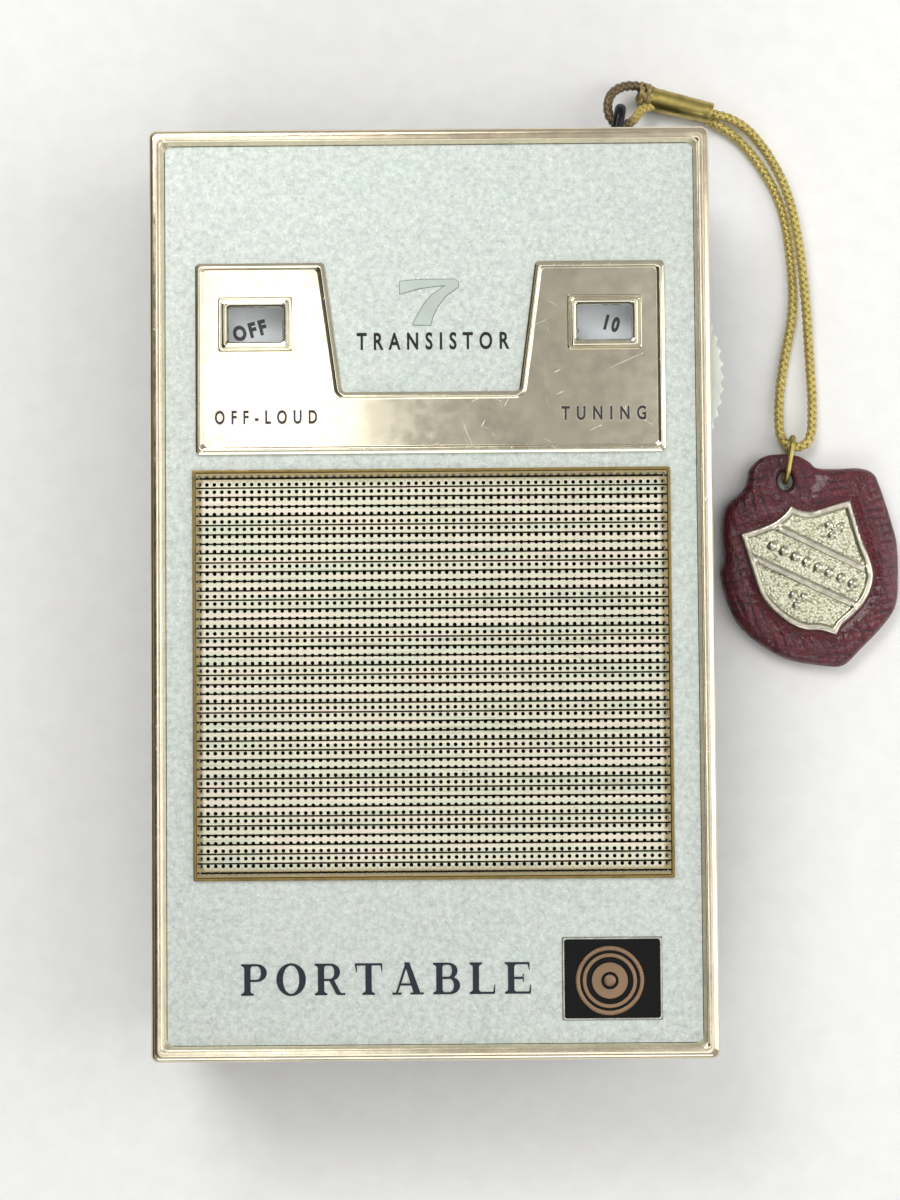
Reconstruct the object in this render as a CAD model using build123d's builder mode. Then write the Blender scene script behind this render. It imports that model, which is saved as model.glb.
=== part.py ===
from build123d import *
import os
from math import cos, pi, radians, sin, tan

os.makedirs("parts", exist_ok=True)

# Shirt-pocket transistor radio lying on its back, millimetres.
# +X is its right-hand side, +Y its top, +Z points out of the face.
# The origin is the middle of the back face, on the surface it lies on.

# Driving dimensions of the whole set
case_width = 65.0
case_height = 107.5
case_depth = 26.0

# Moulded case: a back cover and a front half that meet at the parting line
bezel_overhang = 0.9
shell_width = case_width - 2 * bezel_overhang
shell_height = case_height - 2 * bezel_overhang
shell_corner = 1.6
wall = 1.5
back_wall = 1.8
back_edge_radius = 1.5
parting_line = 13.0
seam_gap = 0.1
front_case_top = 24.0
front_wall = 1.8
front_wall_back = front_case_top - front_wall
lip_height = 1.9
lip_thickness = 0.8
lip_clearance = 0.1
inner_width = shell_width - 2 * wall
inner_height = shell_height - 2 * wall
lip_gap_width = inner_width - 4.0
coin_notch = (12.0, 1.6)
coin_notch_height = 1.2
dial_hole = (9.0, 7.0)
tuning_slot = 22.4
volume_slot = 17.8
battery_rib = (8.0, 0.8)
battery_rib_places = [(-22.0, -24.1), (22.0, -24.1)]
rib_setback = 1.0

# Bezel and face panel
bezel_corner = 0.8
bezel_skirt_z = 22.8
bezel_edge_radius = 0.7
bezel_slope = 0.4
panel_width = 61.3
panel_height = 103.8
panel_corner = 0.6
panel_thickness = 1.0
panel_front = front_case_top + panel_thickness
fit_gap = 0.1

# Escutcheon round the two dial windows, a U with slanting arms
escutcheon_half = 27.2
escutcheon_top = 38.2
escutcheon_bottom = 15.9
notch_half_top = 12.2
notch_half_floor = 10.2
notch_floor = 23.1
escutcheon_thickness = 0.9
escutcheon_bevel = 0.35
window_x = 20.2
window_y = 31.0
window_opening = (6.2, 4.2)
window_seat = (7.8, 5.8)
ridge_outer = (8.6, 6.4)
ridge_height = 0.1
lens_play = 0.1
lens_boss = 0.3

# Loudspeaker grille and badge
grille_width = 55.2
grille_height = 47.3
grille_y = -9.5
grille_thickness = 0.5
grille_border = 0.8
cloth_thickness = 0.4
cloth_width = grille_width - 2 * grille_border - 0.4
cloth_height = grille_height - 2 * grille_border - 0.4
badge_x = 20.3
badge_y = -44.6
badge_width = 11.4
badge_height = 9.4
badge_recess = 0.4
badge_thickness = 0.6
badge_corner = 0.2
roundel_middle = (badge_x - 0.3, badge_y - 0.2)
roundel_radius = 3.95
roundel_edge = 0.15
roundel_thickness = 0.4

# Thumbwheels on the two control shafts
wheel_y = 25.0
tuning_x = 19.6
volume_x = -19.6
tuning_radius = 14.8
volume_radius = 13.2
wheel_bottom = 19.0
wheel_top = 22.0
wheel_teeth = 60
tooth_depth = 0.42
hub_radius = 5.0
hub_bottom = 17.7
shaft_radius = 3.0
shaft_clearance = 0.05
shaft_bottom = 12.0
shaft_top = 20.4
knob_screw_radius = 1.0
knob_screw_head_radius = 2.1
knob_screw_head = 0.8
knob_screw_length = 5.0
screw_slot = (0.5, 0.4)
head_play = 0.1
slot_clearance = 0.4

# Printed board, component side facing the back cover
board_back = 15.6
board_front = 17.2
board_half = 29.0
board_top = 51.0
board_bottom = -23.2
board_left_end = -8.6
board_hole_radius = 17.6
battery_bay_width = 20.0
magnet_bay = (28.0, 14.0)
board_play = 0.4
post_radius = 2.4
post_hole_radius = 0.95
board_screw_head = (1.9, 1.3)
board_screw_length = 5.0
board_posts = [(-26.0, 47.0), (26.0, 47.0), (26.0, -20.5), (-26.0, -5.0)]

# Loudspeaker
speaker_y = -8.0
speaker_radius = 22.0
speaker_opening_radius = 19.5
flange_thickness = 1.5
flange_back = front_wall_back - flange_thickness
basket_radius = 16.8
basket_neck_radius = 11.5
basket_neck_z = 13.0
basket_skin = 0.9
magnet_radius = 10.8
magnet_bottom = 6.5
clip_angles = [90, 210, 330]
clip_circle = 24.5
clip_boss_radius = 2.1
clip_thickness = 0.6
clip_size = (6.4, 3.6)
clip_hole_radius = 0.9
clip_screw_radius = 0.8
clip_screw_length = 2.8
clip_screw_head = (1.5, 0.9)
frame_bore_radius = 5.0
cone_radius = 15.3
cone_front = 22.1
cone_thickness = 0.5
dust_cap_z = 17.9
lead_wire_radius = 0.4

# Battery of the small rectangular 9 V size with its clip
battery_body = 46.4
battery_width = 26.5
battery_thickness = 17.5
battery_left = -26.25
battery_y = -37.95
battery_bottom = 2.5
terminal_spacing = 12.7
snap_depth = 4.6
battery_corner = 2.0
stud_height = 2.0
stud_radius = 2.8
stud_cup_radius = 4.1
snap_size = (25.0, 11.0)
snap_play = 0.1
pad_size = (40.0, 20.0)
pad_thickness = 0.7

# Earphone socket in the left-hand wall
jack_y = -13.5
jack_z = 17.4
jack_bore_radius = 1.8
jack_bush_radius = 3.0
jack_bore_length = 11.0
jack_mouth_x = -32.6
nut_radius = 4.1
nut_thickness = 1.1
jack_body = (6.8, 5.8)
jack_body_length = 10.0
nut_chamfer = 0.3

# Carrying loop: steel staple, braided cord, ferrule, ring and leather fob
staple_wire = 0.7
staple_low_z = 3.2
staple_high_z = 7.6
staple_root = (21.7, 51.0)
staple_crown = (23.5, 60.2)
staple_bend = 1.5
leg_play = 0.03
staple_plate_size = (5.0, 7.0)
staple_plate_thickness = 1.0
cord_radius = 0.65
ferrule_left = (27.3, 62.6)
ferrule_right = (35.2, 60.6)
ferrule_z = 1.65
ring_middle = (44.15, 17.15, 1.85)
ring_direction = (0.18, 0.984, 0)
ring_length = 6.3
ring_height = 3.6
ferrule_start_radii = (1.6, 1.5)
ferrule_end_radii = (1.45, 1.3)
ring_wire = 0.35
fob_thickness = 2.8
tab_low = 1.35
tab_thickness = 1.0
hole_place = (43.65, 14.4)
hole_radius = 1.1
emblem_thickness = 0.7
emblem_edge = 0.2


def arc_radii(points):
    """Radius of the arc at each inner point: 0.45 of the shorter run over the tangent of half the turn."""
    radii = []
    for before, here, after in zip(points, points[1:], points[2:]):
        run_in = Vector(*here) - Vector(*before)
        run_out = Vector(*after) - Vector(*here)
        half_turn = radians(run_in.get_angle(run_out)) / 2
        radii.append(0.45 * min(run_in.length, run_out.length) / tan(half_turn))
    return radii


def toothed_outline(radius):
    """Corner points of a wheel rim with pointed teeth."""
    points = []
    for tooth in range(2 * wheel_teeth):
        reach = radius - (tooth % 2) * tooth_depth
        angle = pi * tooth / wheel_teeth
        points.append((reach * cos(angle), reach * sin(angle)))
    return points


# ---------------------------------------------------------------- case halves

with BuildPart() as back_cover:
    with BuildSketch():
        RectangleRounded(shell_width, shell_height, shell_corner)
    extrude(amount=parting_line)
    fillet(back_cover.edges().group_by(Axis.Z)[0], back_edge_radius)
    with BuildSketch(Plane.XY.offset(back_wall)):
        Rectangle(inner_width, inner_height)
    extrude(amount=parting_line - back_wall, mode=Mode.SUBTRACT)
    # lip that slips inside the front half
    with BuildSketch(Plane.XY.offset(parting_line - lip_height)):
        Rectangle(inner_width, inner_height)
        Rectangle(inner_width - 2 * (lip_thickness + lip_clearance),
                  inner_height - 2 * (lip_thickness + lip_clearance), mode=Mode.SUBTRACT)
    extrude(amount=lip_height)
    with BuildSketch(Plane.XY.offset(parting_line)):
        Rectangle(inner_width - 2 * lip_clearance, inner_height - 2 * lip_clearance)
        Rectangle(inner_width - 2 * (lip_thickness + lip_clearance),
                  inner_height - 2 * (lip_thickness + lip_clearance), mode=Mode.SUBTRACT)
    extrude(amount=lip_height / 2)
    # the lip stops short along the bottom wall, where the battery lies
    with BuildSketch(Plane.XY.offset(parting_line - lip_height)):
        with Locations((0, -inner_height / 2)):
            Rectangle(lip_gap_width, 2 * (lip_thickness + 2 * lip_clearance))
    extrude(amount=2 * lip_height, mode=Mode.SUBTRACT)
    with BuildSketch(Plane.XY.offset(back_wall)):
        with Locations((0, -(inner_height + wall) / 2)):
            Rectangle(lip_gap_width + lip_clearance, wall)
    extrude(amount=parting_line - back_wall)
    # coin notch in the bottom edge
    with BuildSketch(Plane.XY.offset(parting_line - coin_notch_height)):
        with Locations((0, -shell_height / 2)):
            Rectangle(*coin_notch)
    extrude(amount=coin_notch_height, mode=Mode.SUBTRACT)
    # two holes in the top wall for the legs of the staple
    for leg_z in (staple_low_z, staple_high_z):
        leg_plane = Plane(origin=(*staple_root, leg_z), x_dir=(0, 0, 1),
                          z_dir=(staple_crown[0] - staple_root[0], staple_crown[1] - staple_root[1], 0))
        with BuildSketch(leg_plane.offset(-1.0)):
            Circle(staple_wire + leg_play)
        extrude(amount=wall + 2.5, mode=Mode.SUBTRACT)
back_cover.part.label = "back_cover"
export_step(back_cover.part, "parts/back_cover.step")

with BuildPart() as front_case:
    with BuildSketch(Plane.XY.offset(parting_line + seam_gap)):
        RectangleRounded(shell_width, shell_height, shell_corner)
    extrude(amount=front_case_top - parting_line - seam_gap)
    with BuildSketch(Plane.XY.offset(parting_line + seam_gap)):
        Rectangle(inner_width, inner_height)
    extrude(amount=front_wall_back - parting_line - seam_gap, mode=Mode.SUBTRACT)
    # sound hole and the two dial openings
    with BuildSketch(Plane.XY.offset(front_wall_back)):
        with Locations((0, speaker_y)):
            Circle(speaker_opening_radius)
        with Locations((-window_x, window_y), (window_x, window_y)):
            Rectangle(*dial_hole)
    extrude(amount=front_wall, mode=Mode.SUBTRACT)
    # slots in the side walls that the thumbwheels come out of
    slot_bottom = wheel_bottom - slot_clearance
    slot_depth = 2 * wall + 1.0
    with BuildSketch(Plane.XY.offset(slot_bottom)):
        with Locations((shell_width / 2, wheel_y)):
            Rectangle(slot_depth, tuning_slot)
        with Locations((-shell_width / 2, wheel_y)):
            Rectangle(slot_depth, volume_slot)
    extrude(amount=front_wall_back - slot_bottom, mode=Mode.SUBTRACT)
    # posts for the board and bosses for the loudspeaker clips
    with BuildSketch(Plane.XY.offset(board_front)):
        with Locations(*board_posts):
            Circle(post_radius)
            Circle(post_hole_radius, mode=Mode.SUBTRACT)
    extrude(amount=front_wall_back - board_front)
    with BuildSketch(Plane.XY.offset(flange_back)):
        with Locations((0, speaker_y)):
            with PolarLocations(clip_circle, 3, start_angle=clip_angles[0]):
                Circle(clip_boss_radius)
    extrude(amount=flange_thickness)
    with BuildSketch(Plane.XY.offset(flange_back)):
        with Locations((0, speaker_y)):
            with PolarLocations(clip_circle, 3, start_angle=clip_angles[0]):
                Circle(clip_screw_radius)
    extrude(amount=clip_screw_length - clip_thickness + 0.4, mode=Mode.SUBTRACT)
    # ribs that keep the battery in its bay
    with BuildSketch(Plane.XY.offset(parting_line + rib_setback)):
        with Locations(*battery_rib_places):
            Rectangle(*battery_rib)
    extrude(amount=front_wall_back - parting_line - rib_setback)
    # hole for the earphone socket
    with BuildSketch(Plane.YZ.offset(-shell_width / 2 - 1.0)):
        with Locations((jack_y, jack_z)):
            Circle(jack_bush_radius + 0.05)
    extrude(amount=wall + 1.5, mode=Mode.SUBTRACT)
front_case.part.label = "front_case"
export_step(front_case.part, "parts/front_case.step")

# ---------------------------------------------------------------- face of the set

with BuildPart() as bezel_frame:
    with BuildSketch(Plane.XY.offset(bezel_skirt_z)):
        RectangleRounded(case_width, case_height, bezel_corner)
    extrude(amount=case_depth - bezel_skirt_z)
    fillet(bezel_frame.edges().group_by(Axis.Z)[-1], bezel_edge_radius)
    with BuildSketch(Plane.XY.offset(bezel_skirt_z)):
        RectangleRounded(shell_width + fit_gap, shell_height + fit_gap, shell_corner)
    extrude(amount=front_case_top - bezel_skirt_z, mode=Mode.SUBTRACT)
    with BuildSketch(Plane.XY.offset(front_case_top)):
        RectangleRounded(panel_width + fit_gap, panel_height + fit_gap, panel_corner)
    extrude(amount=case_depth - front_case_top, mode=Mode.SUBTRACT)
    inner_rim = [edge for edge in bezel_frame.edges().group_by(Axis.Z)[-1]
                 if abs(edge.center().X) <= panel_width / 2 + fit_gap
                 and abs(edge.center().Y) <= panel_height / 2 + fit_gap]
    chamfer(inner_rim, bezel_slope)
bezel_frame.part.label = "bezel_frame"
export_step(bezel_frame.part, "parts/bezel_frame.step")

with BuildPart() as face_panel:
    with BuildSketch(Plane.XY.offset(front_case_top)):
        RectangleRounded(panel_width, panel_height, panel_corner)
        with Locations((0, grille_y)):
            Rectangle(grille_width - 2 * grille_border, grille_height - 2 * grille_border,
                      mode=Mode.SUBTRACT)
        with Locations((-window_x, window_y), (window_x, window_y)):
            Rectangle(*window_seat, mode=Mode.SUBTRACT)
    extrude(amount=panel_thickness)
    with BuildSketch(Plane.XY.offset(panel_front)):
        with Locations((badge_x, badge_y)):
            Rectangle(badge_width + fit_gap, badge_height + fit_gap)
    extrude(amount=-badge_recess, mode=Mode.SUBTRACT)
face_panel.part.label = "face_panel"
export_step(face_panel.part, "parts/face_panel.step")

with BuildPart() as dial_escutcheon:
    with BuildSketch(Plane.XY.offset(panel_front)):
        with BuildLine():
            Polyline((-escutcheon_half, escutcheon_bottom), (escutcheon_half, escutcheon_bottom),
                     (escutcheon_half, escutcheon_top), (notch_half_top, escutcheon_top),
                     (notch_half_floor, notch_floor), (-notch_half_floor, notch_floor),
                     (-notch_half_top, escutcheon_top), (-escutcheon_half, escutcheon_top),
                     close=True)
        make_face()
    extrude(amount=escutcheon_thickness)
    chamfer(dial_escutcheon.edges().group_by(Axis.Z)[-1], escutcheon_bevel)
    with BuildSketch(Plane.XY.offset(panel_front)):
        with Locations((-window_x, window_y), (window_x, window_y)):
            Rectangle(*ridge_outer)
    extrude(amount=escutcheon_thickness + ridge_height)
    with BuildSketch(Plane.XY.offset(panel_front)):
        with Locations((-window_x, window_y), (window_x, window_y)):
            Rectangle(*window_opening)
    extrude(amount=escutcheon_thickness + ridge_height, mode=Mode.SUBTRACT)
dial_escutcheon.part.label = "dial_escutcheon"
export_step(dial_escutcheon.part, "parts/dial_escutcheon.step")

with BuildPart() as tuning_lens:
    with BuildSketch(Plane.XY.offset(front_case_top)):
        with Locations((window_x, window_y)):
            Rectangle(window_seat[0] - 2 * lens_play, window_seat[1] - 2 * lens_play)
    extrude(amount=panel_thickness)
    with BuildSketch(Plane.XY.offset(panel_front)):
        with Locations((window_x, window_y)):
            Rectangle(window_opening[0] - lens_play, window_opening[1] - lens_play)
    extrude(amount=lens_boss)
tuning_lens.part.label = "tuning_lens"
export_step(tuning_lens.part, "parts/tuning_lens.step")

with BuildPart() as volume_lens:
    with BuildSketch(Plane.XY.offset(front_case_top)):
        with Locations((-window_x, window_y)):
            Rectangle(window_seat[0] - 2 * lens_play, window_seat[1] - 2 * lens_play)
    extrude(amount=panel_thickness)
    with BuildSketch(Plane.XY.offset(panel_front)):
        with Locations((-window_x, window_y)):
            Rectangle(window_opening[0] - lens_play, window_opening[1] - lens_play)
    extrude(amount=lens_boss)
volume_lens.part.label = "volume_lens"
export_step(volume_lens.part, "parts/volume_lens.step")

with BuildPart() as speaker_grille:
    with BuildSketch(Plane.XY.offset(panel_front)):
        with Locations((0, grille_y)):
            Rectangle(grille_width, grille_height)
    extrude(amount=grille_thickness)
speaker_grille.part.label = "speaker_grille"
export_step(speaker_grille.part, "parts/speaker_grille.step")

with BuildPart() as grille_cloth:
    with BuildSketch(Plane.XY.offset(front_case_top)):
        with Locations((0, grille_y)):
            Rectangle(cloth_width, cloth_height)
    extrude(amount=cloth_thickness)
grille_cloth.part.label = "grille_cloth"
export_step(grille_cloth.part, "parts/grille_cloth.step")

badge_bottom = panel_front - badge_recess
with BuildPart() as badge_plate:
    with BuildSketch(Plane.XY.offset(badge_bottom)):
        with Locations((badge_x, badge_y)):
            RectangleRounded(badge_width, badge_height, badge_corner)
    extrude(amount=badge_thickness)
badge_plate.part.label = "badge_plate"
export_step(badge_plate.part, "parts/badge_plate.step")

with BuildPart() as badge_roundel:
    with BuildSketch(Plane.XY.offset(badge_bottom + badge_thickness)):
        with Locations(roundel_middle):
            Circle(roundel_radius)
    extrude(amount=roundel_thickness)
    chamfer(badge_roundel.edges().group_by(Axis.Z)[-1], roundel_edge)
badge_roundel.part.label = "badge_roundel"
export_step(badge_roundel.part, "parts/badge_roundel.step")

# ---------------------------------------------------------------- thumbwheels

with BuildPart() as tuning_knob:
    with BuildSketch(Plane((tuning_x, wheel_y, wheel_bottom))):
        with BuildLine():
            Polyline(*toothed_outline(tuning_radius), close=True)
        make_face()
    extrude(amount=wheel_top - wheel_bottom)
    with BuildSketch(Plane((tuning_x, wheel_y, hub_bottom))):
        Circle(hub_radius)
    extrude(amount=wheel_bottom - hub_bottom)
    with BuildSketch(Plane((tuning_x, wheel_y, hub_bottom))):
        Circle(shaft_radius)
    extrude(amount=shaft_top - hub_bottom, mode=Mode.SUBTRACT)
    with Locations((tuning_x, wheel_y, wheel_top)):
        CounterBoreHole(knob_screw_radius, knob_screw_head_radius + head_play, knob_screw_head + head_play,
                        wheel_top - wheel_bottom)
tuning_knob.part.label = "tuning_knob"
export_step(tuning_knob.part, "parts/tuning_knob.step")

with BuildPart() as volume_knob:
    with BuildSketch(Plane((volume_x, wheel_y, wheel_bottom))):
        with BuildLine():
            Polyline(*toothed_outline(volume_radius), close=True)
        make_face()
    extrude(amount=wheel_top - wheel_bottom)
    with BuildSketch(Plane((volume_x, wheel_y, hub_bottom))):
        Circle(hub_radius)
    extrude(amount=wheel_bottom - hub_bottom)
    with BuildSketch(Plane((volume_x, wheel_y, hub_bottom))):
        Circle(shaft_radius)
    extrude(amount=shaft_top - hub_bottom, mode=Mode.SUBTRACT)
    with Locations((volume_x, wheel_y, wheel_top)):
        CounterBoreHole(knob_screw_radius, knob_screw_head_radius + head_play, knob_screw_head + head_play,
                        wheel_top - wheel_bottom)
volume_knob.part.label = "volume_knob"
export_step(volume_knob.part, "parts/volume_knob.step")

for control, control_x in (("tuning", tuning_x), ("volume", volume_x)):
    with BuildPart() as control_shaft:
        with BuildSketch(Plane((control_x, wheel_y, shaft_bottom))):
            Circle(shaft_radius)
            Circle(knob_screw_radius, mode=Mode.SUBTRACT)
        extrude(amount=shaft_top - shaft_bottom)
    control_shaft.part.label = control + "_shaft"
    export_step(control_shaft.part, "parts/" + control + "_shaft.step")

    screw_head_bottom = wheel_top - knob_screw_head - head_play
    with BuildPart() as knob_screw:
        with BuildSketch(Plane((control_x, wheel_y, screw_head_bottom - knob_screw_length))):
            Circle(knob_screw_radius)
        extrude(amount=knob_screw_length)
        with BuildSketch(Plane((control_x, wheel_y, screw_head_bottom))):
            Circle(knob_screw_head_radius)
        extrude(amount=knob_screw_head)
        with BuildSketch(Plane((control_x, wheel_y, screw_head_bottom + knob_screw_head))):
            Rectangle(2 * knob_screw_head_radius, screw_slot[0])
        extrude(amount=-screw_slot[1], mode=Mode.SUBTRACT)
    knob_screw.part.label = control + "_knob_screw"
    export_step(knob_screw.part, "parts/" + control + "_knob_screw.step")

# ---------------------------------------------------------------- circuit board and its components

with BuildPart() as circuit_board:
    with BuildSketch(Plane.XY.offset(board_back)):
        with Locations((0, (board_top + board_bottom) / 2)):
            Rectangle(2 * board_half, board_top - board_bottom)
        with Locations((-board_half, board_bottom)):
            Rectangle(battery_bay_width, board_left_end - board_bottom,
                      align=(Align.MIN, Align.MIN), mode=Mode.SUBTRACT)
        with Locations((0, speaker_y)):
            Circle(board_hole_radius, mode=Mode.SUBTRACT)
        with Locations((0, board_bottom)):
            Rectangle(*magnet_bay, mode=Mode.SUBTRACT)
        with Locations((tuning_x, wheel_y), (volume_x, wheel_y)):
            Circle(shaft_radius + board_play, mode=Mode.SUBTRACT)
        with Locations(*board_posts):
            Circle(post_hole_radius + head_play, mode=Mode.SUBTRACT)
    extrude(amount=board_front - board_back)
circuit_board.part.label = "circuit_board"
export_step(circuit_board.part, "parts/circuit_board.step")

with BuildPart() as board_screws:
    with BuildSketch(Plane.XY.offset(board_back - board_screw_head[1])):
        with Locations(*board_posts):
            Circle(board_screw_head[0])
    extrude(amount=board_screw_head[1])
    with BuildSketch(Plane.XY.offset(board_back)):
        with Locations(*board_posts):
            Circle(post_hole_radius)
    extrude(amount=board_screw_length)
board_screws.part.label = "board_screws"
export_step(board_screws.part, "parts/board_screws.step")

capacitor_size = 16.0
capacitor_bottom = 6.0
capacitor_corner = 0.8
trimmer_pitch = 9.0
trimmer_well = (1.5, 0.8)
trimmer_radius = 1.2
trimmer_slot = 0.35
shaft_well = shaft_bottom - 0.3
with BuildPart() as tuning_capacitor:
    with BuildSketch(Plane((tuning_x, wheel_y, capacitor_bottom))):
        Rectangle(capacitor_size, capacitor_size)
    extrude(amount=board_back - capacitor_bottom)
    chamfer(tuning_capacitor.edges().filter_by(Axis.Z), capacitor_corner)
    with BuildSketch(Plane((tuning_x, wheel_y, board_back))):
        Circle(shaft_radius + shaft_clearance)
    extrude(amount=shaft_well - board_back, mode=Mode.SUBTRACT)
    with BuildSketch(Plane((tuning_x, wheel_y, capacitor_bottom))):
        with GridLocations(trimmer_pitch, trimmer_pitch, 2, 2):
            Circle(trimmer_well[0])
    extrude(amount=trimmer_well[1], mode=Mode.SUBTRACT)
tuning_capacitor.part.label = "tuning_capacitor"
export_step(tuning_capacitor.part, "parts/tuning_capacitor.step")

with BuildPart() as trimmer_screws:
    with BuildSketch(Plane((tuning_x, wheel_y, capacitor_bottom))):
        with GridLocations(trimmer_pitch, trimmer_pitch, 2, 2):
            Circle(trimmer_radius)
    extrude(amount=trimmer_well[1])
    with BuildSketch(Plane((tuning_x, wheel_y, capacitor_bottom))):
        with GridLocations(trimmer_pitch, trimmer_pitch, 2, 2):
            Rectangle(2 * trimmer_radius - 0.4, trimmer_slot)
    extrude(amount=trimmer_slot, mode=Mode.SUBTRACT)
trimmer_screws.part.label = "trimmer_screws"
export_step(trimmer_screws.part, "parts/trimmer_screws.step")

control_radius = 8.0
control_bottom = 5.4
switch_height = 3.0
switch_radius = control_radius - 0.8
with BuildPart() as volume_control:
    with BuildSketch(Plane((volume_x, wheel_y, control_bottom + switch_height))):
        Circle(control_radius)
    extrude(amount=board_back - control_bottom - switch_height)
    with BuildSketch(Plane((volume_x, wheel_y, control_bottom))):
        Circle(switch_radius)
    extrude(amount=switch_height)
    with BuildSketch(Plane((volume_x, wheel_y, board_back))):
        Circle(shaft_radius + shaft_clearance)
    extrude(amount=shaft_well - board_back, mode=Mode.SUBTRACT)
volume_control.part.label = "volume_control"
export_step(volume_control.part, "parts/volume_control.step")

rod_radius = 4.0
rod_half = 27.0
rod_y = 44.5
rod_z = 9.0
holder_x = 18.0
holder_thickness = 3.0
holder_width = 2 * rod_radius + 2.4
holder_bottom = rod_z - rod_radius - 1.0
coil_play = 0.02
coil_stretches = [(-13.0, 17.0, 1.0), (7.0, 4.0, 0.9)]
with BuildPart() as ferrite_rod:
    with BuildSketch(Plane.YZ.offset(-rod_half)):
        with Locations((rod_y, rod_z)):
            Circle(rod_radius)
    extrude(amount=2 * rod_half)
    chamfer(ferrite_rod.edges(), 0.4)
ferrite_rod.part.label = "ferrite_rod"
export_step(ferrite_rod.part, "parts/ferrite_rod.step")

with BuildPart() as antenna_coil:
    for coil_start, coil_length, coil_build in coil_stretches:
        with BuildSketch(Plane.YZ.offset(coil_start)):
            with Locations((rod_y, rod_z)):
                Circle(rod_radius + coil_build)
                Circle(rod_radius + coil_play, mode=Mode.SUBTRACT)
        extrude(amount=coil_length)
antenna_coil.part.label = "antenna_coil"
export_step(antenna_coil.part, "parts/antenna_coil.step")

with BuildPart() as antenna_holders:
    for side in (-1, 1):
        with BuildSketch(Plane.YZ.offset(side * holder_x - holder_thickness / 2)):
            with Locations((rod_y, (board_back + holder_bottom) / 2)):
                Rectangle(holder_width, board_back - holder_bottom)
            with Locations((rod_y, rod_z)):
                Circle(rod_radius + coil_play, mode=Mode.SUBTRACT)
        extrude(amount=holder_thickness)
antenna_holders.part.label = "antenna_holders"
export_step(antenna_holders.part, "parts/antenna_holders.step")

can_size = 7.0
can_height = 8.0
can_core = (1.6, 1.0)
can_places = [(-4.5, 34.0), (4.5, 34.0), (-4.5, 24.5), (4.5, 24.5)]
with BuildPart() as if_transformers:
    with BuildSketch(Plane.XY.offset(board_back - can_height)):
        with Locations(*can_places):
            RectangleRounded(can_size, can_size, 0.5)
    extrude(amount=can_height)
    with BuildSketch(Plane.XY.offset(board_back - can_height)):
        with Locations(*can_places):
            Circle(can_core[0])
    extrude(amount=can_core[1], mode=Mode.SUBTRACT)
if_transformers.part.label = "if_transformers"
export_step(if_transformers.part, "parts/if_transformers.step")

core_size = (6.0, 14.0)
core_height = 10.5
winding_size = (10.0, 9.0)
winding_height = 7.0
transformer_y = 6.0
for transformer, transformer_x in (("driver_transformer", -23.5), ("output_transformer", 23.5)):
    with BuildPart() as audio_transformer:
        with BuildSketch(Plane((transformer_x, transformer_y, board_back - core_height))):
            Rectangle(*core_size)
        extrude(amount=core_height)
        with BuildSketch(Plane((transformer_x, transformer_y, board_back - winding_height - 2.0))):
            RectangleRounded(*winding_size, 1.5)
        extrude(amount=winding_height)
    audio_transformer.part.label = transformer
    export_step(audio_transformer.part, "parts/" + transformer + ".step")

transistor_places = [(-5.0, 13.9), (5.0, 13.9), (23.5, -5.0), (23.5, -12.0), (21.5, -18.0), (-20.6, -4.6)]
transistor_can = (2.3, 5.5)
transistor_brim = (2.6, 1.0)
with BuildPart() as transistors:
    with BuildSketch(Plane.XY.offset(board_back - transistor_brim[1] - transistor_can[1])):
        with Locations(*transistor_places):
            Circle(transistor_can[0])
    extrude(amount=transistor_can[1])
    with BuildSketch(Plane.XY.offset(board_back - transistor_brim[1])):
        with Locations(*transistor_places):
            Circle(transistor_brim[0])
    extrude(amount=transistor_brim[1])
transistors.part.label = "transistors"
export_step(transistors.part, "parts/transistors.step")

electrolytic_places = [(-13.5, 12.5), (13.5, 12.5), (-13.2, 37.0), (13.2, 37.0)]
electrolytic_radius = 2.5
electrolytic_height = 10.0
with BuildPart() as electrolytic_capacitors:
    with BuildSketch(Plane.XY.offset(board_back - electrolytic_height)):
        with Locations(*electrolytic_places):
            Circle(electrolytic_radius)
    extrude(amount=electrolytic_height)
    fillet(electrolytic_capacitors.edges().group_by(Axis.Z)[0], 0.4)
electrolytic_capacitors.part.label = "electrolytic_capacitors"
export_step(electrolytic_capacitors.part, "parts/electrolytic_capacitors.step")

disc_places = [(0.0, 18.6), (-9.8, 30.0), (9.8, 30.0), (-9.8, 21.0), (9.8, 21.0)]
disc_radius = 2.2
disc_thickness = 1.2
disc_leg = (0.5, 1.0)
leg_spread = 1.2
with BuildPart() as ceramic_capacitors:
    for disc_x, disc_y in disc_places:
        with BuildSketch(Plane.YZ.offset(disc_x - disc_thickness / 2)):
            with Locations((disc_y, board_back - disc_radius - 0.5)):
                Circle(disc_radius)
            with Locations((disc_y - leg_spread, board_back - 0.5), (disc_y + leg_spread, board_back - 0.5)):
                Rectangle(*disc_leg)
        extrude(amount=disc_thickness)
ceramic_capacitors.part.label = "ceramic_capacitors"
export_step(ceramic_capacitors.part, "parts/ceramic_capacitors.step")

resistor_places = [(-27.0, 37.6), (-24.6, 37.6), (-22.2, 37.6), (22.2, 37.6), (24.6, 37.6), (27.0, 37.6),
                   (-9.6, 12.6), (9.6, 12.6)]
bead_radius = 0.9
resistor_length = 4.4
diode_length = 4.0
diode_y = 11.2
with BuildPart() as resistors:
    for body_x, body_y in resistor_places:
        with BuildSketch(Plane.XZ.offset(-body_y - resistor_length / 2)):
            with Locations((body_x, board_back - bead_radius)):
                Circle(bead_radius)
        extrude(amount=resistor_length)
resistors.part.label = "resistors"
export_step(resistors.part, "parts/resistors.step")

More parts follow.
